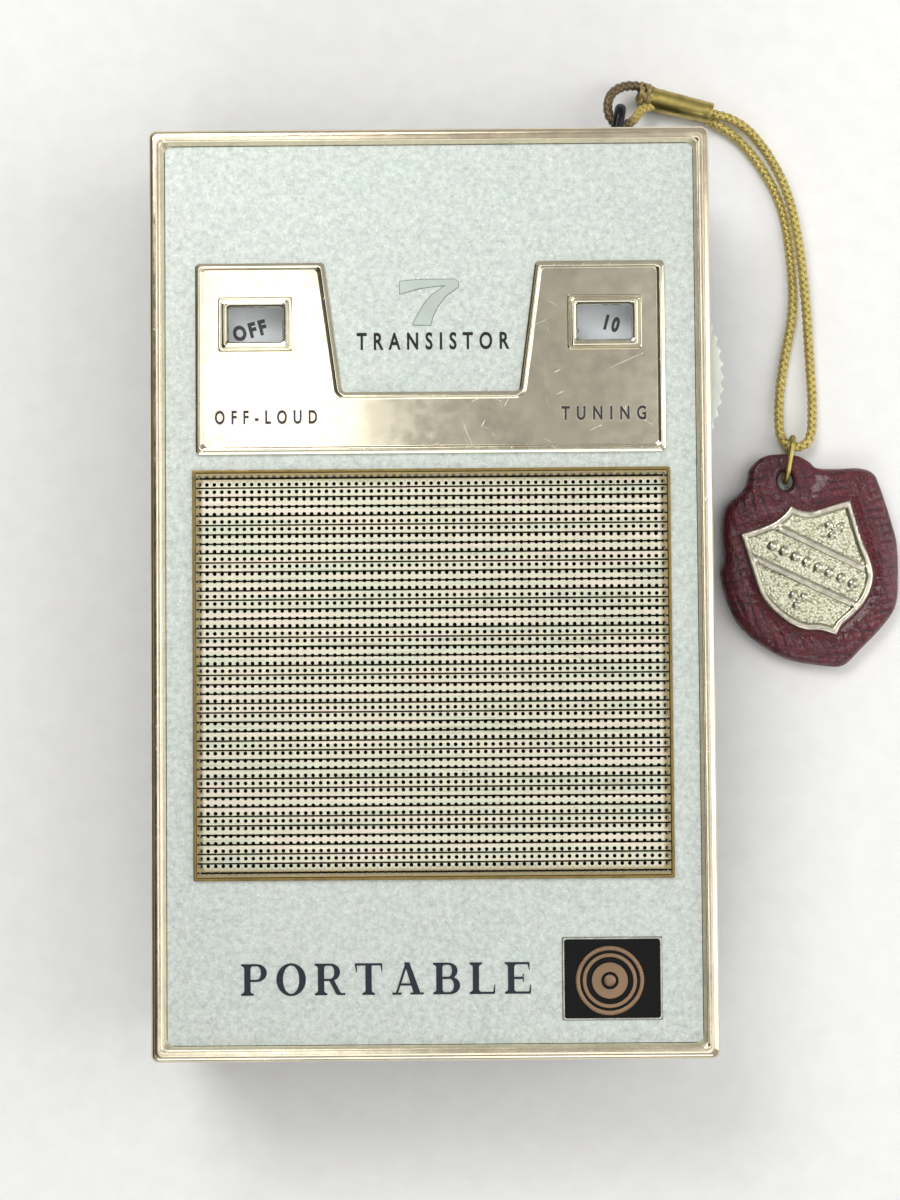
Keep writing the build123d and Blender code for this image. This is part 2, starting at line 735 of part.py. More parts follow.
with BuildPart() as detector_diode:
    with BuildSketch(Plane.YZ.offset(-diode_length / 2)):
        with Locations((diode_y, board_back - bead_radius)):
            Circle(bead_radius)
    extrude(amount=diode_length)
detector_diode.part.label = "detector_diode"
export_step(detector_diode.part, "parts/detector_diode.step")

# ---------------------------------------------------------------- loudspeaker

speaker_plane = Plane(origin=(0, speaker_y, 0), x_dir=(1, 0, 0), z_dir=(0, -1, 0))
with BuildPart() as speaker_frame:
    with BuildSketch(speaker_plane):
        with BuildLine():
            Polyline((basket_radius - basket_skin, front_wall_back - 0.05),
                     (speaker_radius, front_wall_back - 0.05),
                     (speaker_radius, flange_back),
                     (basket_radius, flange_back),
                     (basket_neck_radius, basket_neck_z),
                     (frame_bore_radius, basket_neck_z),
                     (frame_bore_radius, basket_neck_z + basket_skin),
                     (basket_neck_radius - basket_skin, basket_neck_z + basket_skin),
                     (basket_radius - basket_skin, flange_back + 0.3), close=True)
        make_face()
    revolve(axis=Axis((0, speaker_y, 0), (0, 0, 1)))
speaker_frame.part.label = "speaker_frame"
export_step(speaker_frame.part, "parts/speaker_frame.step")

with BuildPart() as speaker_magnet:
    with BuildSketch(Plane((0, speaker_y, magnet_bottom))):
        Circle(magnet_radius)
    extrude(amount=basket_neck_z - magnet_bottom)
    chamfer(speaker_magnet.edges().group_by(Axis.Z)[0], 0.6)
speaker_magnet.part.label = "speaker_magnet"
export_step(speaker_magnet.part, "parts/speaker_magnet.step")

with BuildPart() as speaker_cone:
    with BuildSketch(speaker_plane):
        with BuildLine():
            Polyline((0, dust_cap_z - cone_thickness - 0.2), (frame_bore_radius, 15.9),
                     (cone_radius, cone_front - cone_thickness), (cone_radius, cone_front),
                     (frame_bore_radius, 16.6), (0, dust_cap_z), close=True)
        make_face()
    revolve(axis=Axis((0, speaker_y, 0), (0, 0, 1)))
speaker_cone.part.label = "speaker_cone"
export_step(speaker_cone.part, "parts/speaker_cone.step")

with BuildPart() as speaker_clips:
    for clip_angle in clip_angles:
        clip_plane = Plane(origin=(0, speaker_y, flange_back - clip_thickness),
                           x_dir=(cos(radians(clip_angle)), sin(radians(clip_angle)), 0), z_dir=(0, 0, 1))
        with BuildSketch(clip_plane):
            with Locations((clip_circle - 1.2, 0)):
                SlotOverall(*clip_size)
            with Locations((clip_circle, 0)):
                Circle(clip_hole_radius, mode=Mode.SUBTRACT)
        extrude(amount=clip_thickness)
speaker_clips.part.label = "speaker_clips"
export_step(speaker_clips.part, "parts/speaker_clips.step")

with BuildPart() as clip_screws:
    with BuildSketch(Plane((0, speaker_y, flange_back - clip_thickness - clip_screw_head[1]))):
        with PolarLocations(clip_circle, 3, start_angle=clip_angles[0]):
            Circle(clip_screw_head[0])
    extrude(amount=clip_screw_head[1])
    with BuildSketch(Plane((0, speaker_y, flange_back - clip_thickness))):
        with PolarLocations(clip_circle, 3, start_angle=clip_angles[0]):
            Circle(clip_screw_radius)
    extrude(amount=clip_screw_length)
clip_screws.part.label = "clip_screws"
export_step(clip_screws.part, "parts/clip_screws.step")

# ---------------------------------------------------------------- earphone socket

shell_left = -shell_width / 2
with BuildPart() as earphone_jack:
    with BuildSketch(Plane.YZ.offset(shell_left + wall)):
        with Locations((jack_y, jack_z)):
            Rectangle(*jack_body)
    extrude(amount=jack_body_length)
    with BuildSketch(Plane.YZ.offset(jack_mouth_x)):
        with Locations((jack_y, jack_z)):
            Circle(jack_bush_radius)
    extrude(amount=shell_left + wall - jack_mouth_x)
    with BuildSketch(Plane.YZ.offset(jack_mouth_x)):
        with Locations((jack_y, jack_z)):
            Circle(jack_bore_radius)
    extrude(amount=jack_bore_length, mode=Mode.SUBTRACT)
earphone_jack.part.label = "earphone_jack"
export_step(earphone_jack.part, "parts/earphone_jack.step")

with BuildPart() as jack_nut:
    with BuildSketch(Plane.YZ.offset(shell_left - nut_thickness)):
        with Locations((jack_y, jack_z)):
            Circle(nut_radius)
            Circle(jack_bush_radius + 0.02, mode=Mode.SUBTRACT)
    extrude(amount=nut_thickness)
    nut_outer_edges = jack_nut.edges().group_by(Axis.X)[0].sort_by(SortBy.LENGTH)[-1]
    chamfer(nut_outer_edges, nut_chamfer)
jack_nut.part.label = "jack_nut"
export_step(jack_nut.part, "parts/jack_nut.step")

# ---------------------------------------------------------------- battery and wiring

battery_z = battery_bottom + battery_thickness / 2
battery_right = battery_left + battery_body
with BuildPart() as battery:
    with BuildSketch(Plane.YZ.offset(battery_left)):
        with Locations((battery_y, battery_z)):
            RectangleRounded(battery_width, battery_thickness, battery_corner)
    extrude(amount=battery_body)
    with BuildSketch(Plane.YZ.offset(battery_right)):
        with Locations((battery_y + terminal_spacing / 2, battery_z)):
            Circle(stud_radius)
        with Locations((battery_y - terminal_spacing / 2, battery_z)):
            RegularPolygon(stud_cup_radius, 6)
    extrude(amount=stud_height)
battery.part.label = "battery"
export_step(battery.part, "parts/battery.step")

with BuildPart() as battery_snap:
    with BuildSketch(Plane.YZ.offset(battery_right + snap_play)):
        with Locations((battery_y, battery_z)):
            RectangleRounded(*snap_size, battery_corner)
    extrude(amount=snap_depth)
    with BuildSketch(Plane.YZ.offset(battery_right + snap_play)):
        with Locations((battery_y + terminal_spacing / 2, battery_z)):
            Circle(stud_radius + 0.2)
        with Locations((battery_y - terminal_spacing / 2, battery_z)):
            Circle(stud_cup_radius + 0.2)
    extrude(amount=stud_height, mode=Mode.SUBTRACT)
battery_snap.part.label = "battery_snap"
export_step(battery_snap.part, "parts/battery_snap.step")

with BuildPart() as battery_pad:
    with BuildSketch(Plane.XY.offset(back_wall)):
        with Locations((battery_left + battery_body / 2, battery_y)):
            Rectangle(*pad_size)
    extrude(amount=pad_thickness - 0.05)
battery_pad.part.label = "battery_pad"
export_step(battery_pad.part, "parts/battery_pad.step")

snap_face = battery_right + snap_depth + 2 * snap_play
lead_end = board_back - 0.1
lead_routes = {
    "battery_lead_red": [(snap_face, -32.0, 11.0), (27.4, -31.6, 11.2), (28.1, -28.0, 11.4),
                         (28.0, -21.6, 12.4), (27.7, -18.0, 13.6), (27.7, -17.2, lead_end)],
    "battery_lead_black": [(snap_face, -44.0, 9.0), (27.6, -43.4, 9.0), (28.3, -38.0, 8.6),
                           (28.2, -30.0, 8.4), (27.4, -23.0, 9.6), (27.0, -17.0, 12.0),
                           (26.8, -15.6, lead_end)],
}
lead_radius = 0.5
for lead_name, lead_route in lead_routes.items():
    with BuildPart() as lead:
        with BuildLine() as lead_path:
            FilletPolyline(*lead_route, radius=arc_radii(lead_route))
        with BuildSketch(Plane(origin=lead_path.line @ 0, z_dir=lead_path.line % 0)):
            Circle(lead_radius)
        sweep()
    lead.part.label = lead_name
    export_step(lead.part, "parts/" + lead_name + ".step")

with BuildPart() as speaker_leads:
    for lead_angle in (68, 112):
        outward = (cos(radians(lead_angle)), sin(radians(lead_angle)))
        profile = [(magnet_radius + 0.1, 10.0), (13.6, 9.6), (17.6, 10.8), (19.3, 13.0), (19.3, lead_end)]
        route = [(reach * outward[0], speaker_y + reach * outward[1], height) for reach, height in profile]
        with BuildLine() as speaker_lead_path:
            FilletPolyline(*route, radius=arc_radii(route))
        with BuildSketch(Plane(origin=speaker_lead_path.line @ 0, z_dir=speaker_lead_path.line % 0)):
            Circle(lead_wire_radius)
        sweep()
speaker_leads.part.label = "speaker_leads"
export_step(speaker_leads.part, "parts/speaker_leads.step")

# ---------------------------------------------------------------- carrying loop

staple_run = Vector(staple_crown[0] - staple_root[0], staple_crown[1] - staple_root[1], 0)
staple_heading = staple_run.normalized()
with BuildPart() as strap_staple:
    with BuildLine() as staple_path:
        FilletPolyline((*staple_root, staple_low_z), (*staple_crown, staple_low_z),
                       (*staple_crown, staple_high_z), (*staple_root, staple_high_z),
                       radius=staple_bend)
    with BuildSketch(Plane(origin=staple_path.line @ 0, z_dir=staple_path.line % 0)):
        Circle(staple_wire)
    sweep()
strap_staple.part.label = "strap_staple"
export_step(strap_staple.part, "parts/strap_staple.step")

with BuildPart() as staple_plate:
    with BuildSketch(Plane.XZ.offset(-staple_root[1] - 0.25)):
        with Locations((staple_root[0], (staple_low_z + staple_high_z) / 2)):
            RectangleRounded(*staple_plate_size, 0.6)
    extrude(amount=staple_plate_thickness)
    for leg_z in (staple_low_z, staple_high_z):
        with BuildSketch(Plane(origin=(*staple_root, leg_z), z_dir=staple_heading).offset(-1.5)):
            Circle(staple_wire + leg_play)
        extrude(amount=3.0, mode=Mode.SUBTRACT)
staple_plate.part.label = "staple_plate"
export_step(staple_plate.part, "parts/staple_plate.step")

# One braided cord: out of the ferrule, round the staple, back through the ferrule, down the
# right-hand strand, through the ring, and up the left-hand strand, under the other, to the ferrule.
strap_route = [
    (29.2, 62.9, 2.0), (26.6, 64.0, 2.3), (24.1, 63.9, 3.2), (22.2, 62.5, 4.3), (21.9, 59.8, 5.2),
    (23.3, 58.2, 5.5), (25.2, 58.9, 4.8), (26.2, 61.0, 3.2), (28.6, 61.7, 1.8), (33.6, 60.9, 1.9),
    (38.6, 59.9, 1.2), (42.1, 55.9, 1.2), (44.7, 50.3, 1.75), (45.9, 43.4, 1.9), (46.6, 36.4, 1.7),
    (47.0, 29.8, 0.9), (47.3, 23.8, 1.1), (46.9, 18.7, 1.75), (43.1, 18.8, 1.75), (43.0, 24.2, 1.0),
    (43.9, 30.0, 0.75), (45.2, 36.0, 0.7), (44.9, 42.6, 0.7), (43.9, 49.2, 0.7), (41.2, 54.4, 0.75),
    (37.4, 58.8, 0.95), (34.2, 60.0, 1.2),
]
strap_radii = arc_radii(strap_route)
with BuildPart() as strap_cord:
    with BuildLine() as strap_path:
        FilletPolyline(*strap_route, radius=strap_radii)
    with BuildSketch(Plane(origin=strap_path.line @ 0, z_dir=strap_path.line % 0)):
        Circle(cord_radius)
    sweep()
strap_cord.part.label = "strap_cord"
export_step(strap_cord.part, "parts/strap_cord.step")
strap_length = sum(edge.length for edge in strap_path.edges())
print("strap arc radii", [round(radius, 2) for radius in strap_radii])
print("strap length", round(strap_length, 1), "volume ratio",
      round(strap_cord.part.volume / (pi * cord_radius ** 2 * strap_length), 4))

ferrule_axis = Vector(ferrule_right[0] - ferrule_left[0], ferrule_right[1] - ferrule_left[1], 0)
ferrule_start = Plane(origin=(*ferrule_left, ferrule_z), x_dir=(0, 0, 1), z_dir=ferrule_axis)
with BuildPart() as strap_ferrule:
    with BuildSketch(ferrule_start):
        Ellipse(*ferrule_start_radii)
    with BuildSketch(ferrule_start.offset(ferrule_axis.length)):
        Ellipse(*ferrule_end_radii)
    loft()
strap_ferrule.part.label = "strap_ferrule"
export_step(strap_ferrule.part, "parts/strap_ferrule.step")

ring_axis = (ring_direction[1], -ring_direction[0], 0)
ring_plane = Plane(origin=ring_middle, x_dir=ring_direction, z_dir=ring_axis)
ring_straight = (ring_length - ring_height) / 2
ring_bend = ring_height / 2 - ring_wire
with BuildPart() as jump_ring:
    with BuildLine(ring_plane) as ring_path:
        Line((-ring_straight, ring_bend), (ring_straight, ring_bend))
        CenterArc((ring_straight, 0), ring_bend, 90, -180)
        Line((ring_straight, -ring_bend), (-ring_straight, -ring_bend))
        CenterArc((-ring_straight, 0), ring_bend, 270, -180)
    with BuildSketch(Plane(origin=ring_path.line @ 0, z_dir=ring_path.line % 0)):
        Circle(ring_wire)
    sweep()
jump_ring.part.label = "jump_ring"
export_step(jump_ring.part, "parts/jump_ring.step")

with BuildPart() as fob_leather:
    with BuildSketch():
        with BuildLine():
            Spline((39.9, 13.6), (36.5, 11.4), (35.8, 8.0), (35.7, 3.4), (38.6, -3.8), (43.0, -7.2),
                   (48.4, -8.6), (52.8, -6.6), (56.8, -1.8), (57.6, 4.6), (55.8, 13.2), (52.6, 15.9),
                   (47.6, 15.0), (44.0, 12.6), periodic=True)
        make_face()
    extrude(amount=fob_thickness)
    with BuildSketch(Plane.XY.offset(tab_low)):
        with BuildLine():
            Spline((40.2, 12.0), (39.8, 15.4), (41.6, 17.5), (44.0, 17.9), (46.0, 17.2), (47.8, 15.0),
                   (44.0, 10.0), periodic=True)
        make_face()
        with Locations(hole_place):
            Circle(hole_radius, mode=Mode.SUBTRACT)
    extrude(amount=tab_thickness)
    with BuildSketch():
        with Locations(hole_place):
            Circle(hole_radius)
    extrude(amount=fob_thickness, mode=Mode.SUBTRACT)
fob_leather.part.label = "fob_leather"
export_step(fob_leather.part, "parts/fob_leather.step")

with BuildPart() as fob_emblem:
    with BuildSketch(Plane.XY.offset(fob_thickness)):
        with BuildLine():
            Polyline((37.9, 7.9), (44.3, 11.4), (51.3, 11.9), (53.8, 3.6), (53.0, 0.8), (49.2, -4.6),
                     (43.4, -3.1), (41.2, -1.2), (39.6, 2.4), close=True)
        make_face()
    extrude(amount=emblem_thickness)
    chamfer(fob_emblem.edges().group_by(Axis.Z)[-1], emblem_edge)
fob_emblem.part.label = "fob_emblem"
export_step(fob_emblem.part, "parts/fob_emblem.step")
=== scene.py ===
import math

import bmesh
import bpy
import numpy as np
from mathutils import Matrix, Vector, noise
from mathutils.geometry import delaunay_2d_cdt


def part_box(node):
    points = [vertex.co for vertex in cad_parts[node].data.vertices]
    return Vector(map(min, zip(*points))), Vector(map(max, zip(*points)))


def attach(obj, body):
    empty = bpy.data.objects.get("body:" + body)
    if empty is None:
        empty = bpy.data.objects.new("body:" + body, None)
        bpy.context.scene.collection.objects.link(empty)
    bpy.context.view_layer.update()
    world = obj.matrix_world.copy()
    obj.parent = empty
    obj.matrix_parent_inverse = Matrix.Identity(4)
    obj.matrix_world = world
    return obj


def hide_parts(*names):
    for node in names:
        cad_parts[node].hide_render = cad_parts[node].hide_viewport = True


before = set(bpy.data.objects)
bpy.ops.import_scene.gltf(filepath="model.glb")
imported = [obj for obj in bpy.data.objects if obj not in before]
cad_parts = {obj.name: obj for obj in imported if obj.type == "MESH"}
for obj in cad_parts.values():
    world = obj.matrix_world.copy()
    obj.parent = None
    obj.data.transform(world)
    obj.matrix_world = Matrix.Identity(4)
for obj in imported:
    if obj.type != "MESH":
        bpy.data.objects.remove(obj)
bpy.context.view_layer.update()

bl_info = {
    "name": "Pocket radio",
    "version": (1, 0, 0),
    "blender": (4, 5, 0),
    "location": "View3D > Sidebar > Pocket radio",
    "description": "Dresses the frame of a shirt-pocket transistor radio with its strap and fob",
    "category": "Object",
}

MM = 0.001

# The ends of the ferrule's middle line.
FERRULE_ENDS = (Vector((0.0273, 0.0626, 0.00165)), Vector((0.0352, 0.0606, 0.00165)))

# The middle line of the braided loop, from the ferrule round the staple, back through the ferrule,
# down the right-hand strand, through the ring and up the left-hand strand.
STRAP_ROUTE = [
    (0.0292, 0.0629, 0.0020), (0.0266, 0.0640, 0.0023), (0.0241, 0.0639, 0.0032),
    (0.0222, 0.0625, 0.0043), (0.0219, 0.0598, 0.0052), (0.0233, 0.0582, 0.0055),
    (0.0252, 0.0589, 0.0048), (0.0262, 0.0610, 0.0032), (0.0286, 0.0617, 0.0018),
    (0.0336, 0.0609, 0.0019), (0.0386, 0.0599, 0.0012), (0.0421, 0.0559, 0.0012),
    (0.0447, 0.0503, 0.00175), (0.0459, 0.0434, 0.0019), (0.0466, 0.0364, 0.0017),
    (0.0470, 0.0298, 0.0009), (0.0473, 0.0238, 0.0011), (0.0469, 0.0187, 0.00175),
    (0.0431, 0.0188, 0.00175), (0.0430, 0.0242, 0.0010), (0.0439, 0.0300, 0.00075),
    (0.0452, 0.0360, 0.0007), (0.0449, 0.0426, 0.0007), (0.0439, 0.0492, 0.0007),
    (0.0412, 0.0544, 0.00075), (0.0374, 0.0588, 0.00095), (0.0342, 0.0600, 0.0012),
]


def display_colour(red, green, blue):
    """Scene-linear colour of a paint given in 0 to 255 display values."""
    shares = [value / 255 for value in (red, green, blue)]
    return tuple(share / 12.92 if share <= 0.04045 else ((share + 0.055) / 1.055) ** 2.4 for share in shares)


def colour_property(name, description, red, green, blue):
    return bpy.props.FloatVectorProperty(name=name, description=description, subtype="COLOR", size=3,
                                         min=0.0, max=1.0, default=display_colour(red, green, blue))


def length_property(name, description, millimetres):
    return bpy.props.FloatProperty(name=name, description=description, subtype="DISTANCE", unit="LENGTH",
                                   precision=6, min=0.0, default=millimetres * MM)


class RadioFaceSettings(bpy.types.PropertyGroup):
    """Sizes of the pieces on the front."""
    hole_rows: bpy.props.IntProperty(name="Hole rows", description="Rows of holes in the speaker sheet",
                                           default=54, min=2)
    hole_columns: bpy.props.IntProperty(name="Hole columns", description="Columns of holes in the sheet",
                                        default=63, min=2)
    hole_diameter: length_property("Hole diameter", "Width of each hole in the speaker sheet", 0.47)
    reed_pitch: length_property("Reed pitch", "Distance between the grooves pressed across the sheet", 1.08)
    groove_width: length_property("Groove width", "Width of one groove between two reeds", 0.25)
    groove_depth: length_property("Groove depth", "Depth of one groove", 0.17)
    grille_border: length_property("Grille border", "Plain rim round the holes", 0.42)
    badge_corner: length_property("Badge corner", "Corner radius of the badge plate", 0.3)


class RadioStrapSettings(bpy.types.PropertyGroup):
    """Sizes of the carrying loop and its fob."""
    cord_diameter: length_property("Cord diameter", "Thickness of the braided cord", 1.3)
    strands_each_way: bpy.props.IntProperty(name="Strands each way",
                                            description="Braid strands per direction",
                                            default=3, min=2, max=8)
    braid_turn: length_property("Braid turn", "Length of cord in one turn of a strand", 2.5)
    strand_width: length_property("Strand width", "Width of one flattened strand", 0.52)
    strand_thickness: length_property("Strand thickness", "Thickness of one flattened strand", 0.28)
    grain_pitch: length_property("Grain pitch", "Distance between creases in the leather", 1.15)
    grain_depth: length_property("Grain depth", "Depth of the creases in the leather", 0.17)


class RadioColourSettings(bpy.types.PropertyGroup):
    """Colours of the finishes."""
    gilt: colour_property("Gilt", "Polished champagne metal of the bezel", 226, 214, 188)
    escutcheon: colour_property("Escutcheon", "Metal round the dial windows", 226, 219, 196)
    mesh: colour_property("Speaker sheet", "Pressed gilt sheet over the loudspeaker", 226, 221, 196)
    panel: colour_property("Face paint", "Silver-green sparkle paint of the face", 204, 210, 206)
    ink: colour_property("Ink", "Printed letters", 9, 9, 11)
    name_ink: colour_property("Name ink", "Large name letters", 20, 24, 36)
    case: colour_property("Case", "Moulded case halves", 26, 26, 28)
    wheel: colour_property("Thumbwheel", "Moulded thumbwheels", 214, 220, 210)
    braid: colour_property("Braid", "Gold thread of the strap", 206, 186, 104)
    worn_braid: colour_property("Worn braid", "Darkened thread of the eye", 126, 108, 76)
    brass: colour_property("Brass", "Ferrule and ring", 178, 162, 96)
    leather: colour_property("Leather", "Oxblood leather of the fob", 94, 14, 32)
    shield: colour_property("Shield", "Silver-gilt shield on the fob", 214, 208, 190)
    enamel: colour_property("Enamel", "Badge plate", 10, 9, 9)
    roundel: colour_property("Roundel", "Disc in the middle of the badge", 148, 122, 98)


# ------------------------------------------------------------------ materials

def node(tree, kind, inputs=None, **settings):
    """Adds a node. Each input is a value, or a socket to link, by name or by number."""
    made = tree.nodes.new(kind)
    for key, value in settings.items():
        setattr(made, key, value)
    for key, value in (inputs or {}).items():
        if isinstance(value, bpy.types.NodeSocket):
            tree.links.new(value, made.inputs[key])
        else:
            made.inputs[key].default_value = value
    return made


def carried(tree, name):
    """A value that the mesh carries at its vertices."""
    return node(tree, "ShaderNodeAttribute", attribute_name=name).outputs["Fac"]


def opaque(colour):
    return (*colour[:3], 1.0)


def new_finish(name, values):
    """A material with one Principled shader, whose even values are set on its own sockets."""
    material = bpy.data.materials.new(name)
    material.use_nodes = True
    shader = material.node_tree.nodes["Principled BSDF"]
    for key, value in values.items():
        shader.inputs[key].default_value = value
    return material, material.node_tree, shader


def feed(shader, **sockets):
    """Links what the finish works out to the shader's colour, roughness and normal."""
    names = {"colour": "Base Color", "roughness": "Roughness", "normal": "Normal"}
    for key, socket in sockets.items():
        shader.id_data.links.new(socket, shader.inputs[names[key]])


def place_on_piece(tree, scale=(1, 1, 1), turn=0.0):
    """Object coordinates, stretched and turned about Z."""
    coordinates = node(tree, "ShaderNodeTexCoord").outputs["Object"]
    turned_space = node(tree, "ShaderNodeMapping",
                        {"Vector": coordinates, "Rotation": (0, 0, turn)}).outputs[0]
    return node(tree, "ShaderNodeMapping", {"Vector": turned_space, "Scale": scale}).outputs[0]


def noise_at(tree, vector, size, detail=3.0, roughness=0.55):
    """Noise with features of about size metres."""
    return node(tree, "ShaderNodeTexNoise", {"Vector": vector, "Scale": 1 / size, "Detail": detail,
                                             "Roughness": roughness}).outputs[0]


def ramp(tree, factor, *stops):
    """Colour ramp; each stop is (position, colour)."""
    made = node(tree, "ShaderNodeValToRGB", {0: factor})
    elements = made.color_ramp.elements
    while len(elements) < len(stops):
        elements.new(0.5)
    for element, (position, colour) in zip(elements, stops):
        element.position = position
        element.color = opaque(colour)
    return made.outputs[0]


def grey_ramp(tree, factor, *stops):
    return ramp(tree, factor, *((position, (value, value, value)) for position, value in stops))


def blend_colours(tree, factor, first, second):
    mix = node(tree, "ShaderNodeMix", {0: factor, 6: first, 7: second}, data_type="RGBA")
    return mix.outputs[2]


def maths(tree, operation, first, second=0.0):
    return node(tree, "ShaderNodeMath", {0: first, 1: second}, operation=operation).outputs[0]


def bump(tree, height, distance, strength=1.0, normal=None):
    inputs = {"Height": height, "Distance": distance, "Strength": strength}
    if normal is not None:
        inputs["Normal"] = normal
    return node(tree, "ShaderNodeBump", inputs).outputs[0]


def tinted(colour, factor):
    return opaque([min(1.0, value * factor) for value in colour[:3]])


def scratches(tree, size, turns):
    """Sparse hair-line scratches that run in a few directions, 1 on a scratch and 0 elsewhere."""
    total = None
    for turn in turns:
        stretched = place_on_piece(tree, (1.0, 0.012, 1.0), turn)
        lines = grey_ramp(tree, noise_at(tree, stretched, size, 1.0), (0.0, 0.0), (0.76, 0.0), (0.775, 1.0))
        broken = grey_ramp(tree, noise_at(tree, place_on_piece(tree), 6 * MM, 1.0), (0.5, 0.0), (0.58, 1.0))
        line = maths(tree, "MULTIPLY", lines, broken)
        total = line if total is None else maths(tree, "MAXIMUM", total, line)
    return total


def gilt_finish(name, colour, roughness, wear=0.0):
    """Polished plated metal with slow waves in the sheet, tarnish and hair-line scratches."""
    material, tree, shader = new_finish(name, {"Metallic": 1.0})
    vector = place_on_piece(tree)
    tarnish = noise_at(tree, vector, 5 * MM, 5.0)
    worn = ramp(tree, tarnish, (0.3, tinted(colour, 0.86)), (0.55, opaque(colour)),
                (0.8, tinted(colour, 1.08)))
    marks = scratches(tree, 0.11 * MM, (0.5, 1.15, 2.1, 2.75))
    feed(shader,
         colour=blend_colours(tree, maths(tree, "MULTIPLY", marks, wear), worn, (1.0, 1.0, 0.97, 1.0)))
    cloudy = grey_ramp(tree, noise_at(tree, vector, 1.4 * MM, 4.0), (0.35, roughness * 0.8),
                       (0.7, roughness * 1.3))
    feed(shader, roughness=maths(tree, "ADD", cloudy, maths(tree, "MULTIPLY", marks, 0.3 * wear)))
    waves = bump(tree, noise_at(tree, vector, 9 * MM, 1.0), 0.03 * MM, 0.6)
    feed(shader, normal=bump(tree, marks, 0.01 * MM, wear, waves))
    return material


def pressed_gilt(colour):
    """Anodised sheet: faint coloured streaks along the reeds, painted shade in the grooves and down the
    holes, browner at the rim.
    """
    material, tree, shader = new_finish("pressed_gilt", {"Metallic": 0.85})
    vector = place_on_piece(tree)
    painted_shade = carried(tree, "painted_shade")
    rim = carried(tree, "rim")
    streaks = noise_at(tree, place_on_piece(tree, (0.035, 1, 1)), 0.55 * MM, 3.0, 0.7)
    clean = ramp(tree, streaks, (0.3, tinted(colour, 0.72)), (0.42, display_colour(216, 222, 200)),
                 (0.52, opaque(colour)), (0.6, display_colour(232, 219, 206)), (0.72, tinted(colour, 1.2)))
    rimmed = blend_colours(tree, maths(tree, "MULTIPLY", rim, 0.8), clean,
                           opaque(display_colour(140, 120, 62)))
    # painted shade: near black deep in the grooves, down the hole walls and on the underside
    darkening = grey_ramp(tree, painted_shade, (0.2, 0.0), (0.65, 0.97))
    feed(shader, colour=blend_colours(tree, darkening, rimmed, (0.008, 0.007, 0.004, 1.0)))
    cloudy = noise_at(tree, vector, 1.4 * MM, 4.0)
    feed(shader, roughness=grey_ramp(tree, cloudy, (0.35, 0.26), (0.7, 0.4)),
         normal=bump(tree, streaks, 0.03 * MM, 0.5))
    return material


def sparkle_paint(colour):
    """Metal-flake paint: pale mottled silver-green with fine flakes painted lighter, partly as their pale
    metal and partly as painted glints.
    """
    material, tree, shader = new_finish("sparkle_paint", {"Metallic": 0.35, "Roughness": 0.42,
                                                          "Coat Weight": 0.35, "Coat Roughness": 0.12})
    vector = place_on_piece(tree)
    mottle = noise_at(tree, vector, 0.62 * MM, 7.0, 0.8)
    base = ramp(tree, mottle, (0.3, tinted(colour, 0.66)), (0.46, tinted(colour, 0.93)),
                (0.56, tinted(colour, 1.06)), (0.72, tinted(colour, 1.3)))
    cast = ramp(tree, noise_at(tree, vector, 2.6 * MM, 2.0), (0.3, (0.95, 1.0, 0.97)),
                (0.7, (1.0, 1.0, 0.985)))
    tinted_base = node(tree, "ShaderNodeMix", {0: 1.0, 6: base, 7: cast}, data_type="RGBA",
                       blend_type="MULTIPLY")
    flakes = node(tree, "ShaderNodeTexVoronoi", {"Vector": vector, "Scale": 1 / (0.16 * MM)})
    # the flakes are painted lighter in the colour: pale metal with painted glints on it
    bright = grey_ramp(tree, flakes.outputs["Color"], (0.82, 0.0), (0.95, 1.0))
    feed(shader,
         colour=blend_colours(tree, maths(tree, "MULTIPLY", bright, 0.5), tinted_base.outputs[2],
                              (1.0, 1.0, 0.97, 1.0)),
         normal=bump(tree, mottle, 0.05 * MM, 0.4))
    return material


def printed_ink(name, colour):
    """Screen-printed ink that is a little uneven in cover and gloss."""
    material, tree, shader = new_finish(name, {"Specular IOR Level": 0.4})
    cover = noise_at(tree, place_on_piece(tree), 0.35 * MM, 4.0)
    feed(shader, colour=ramp(tree, cover, (0.3, opaque(colour)), (0.75, tinted(colour, 1.9))),
         roughness=grey_ramp(tree, cover, (0.3, 0.34), (0.7, 0.52)))
    return material


def moulded_plastic(name, colour, roughness=0.38, texture=0.12, painted_glow=0.0):
    """Moulded plastic with a fine spark-eroded skin, flow marks and scuffs. painted_glow gives it a painted
    glow: a little light of its own.
    """
    material, tree, shader = new_finish(name, {"IOR": 1.5, "Emission Color": opaque(colour),
                                               "Emission Strength": painted_glow})
    vector = place_on_piece(tree)
    flow = noise_at(tree, vector, 9 * MM, 4.0)
    feed(shader, colour=ramp(tree, flow, (0.3, tinted(colour, 0.85)), (0.7, tinted(colour, 1.15))))
    scuffs = noise_at(tree, place_on_piece(tree, (1, 0.25, 1), 0.4), 1.6 * MM, 5.0)
    feed(shader, roughness=grey_ramp(tree, scuffs, (0.35, roughness * 0.85), (0.75, roughness * 1.35)),
         normal=bump(tree, noise_at(tree, vector, texture * MM, 2.0), 0.012 * MM, 0.5))
    return material


def clear_plastic():
    """Clear moulded window: almost all of the light goes straight through."""
    material, tree, shader = new_finish("clear_plastic", {"Base Color": (0.6, 0.64, 0.66, 1.0),
                                                          "IOR": 1.49, "Alpha": 0.035})
    haze = noise_at(tree, place_on_piece(tree), 1.2 * MM, 5.0)
    feed(shader, roughness=grey_ramp(tree, haze, (0.35, 0.03), (0.75, 0.09)))
    return material


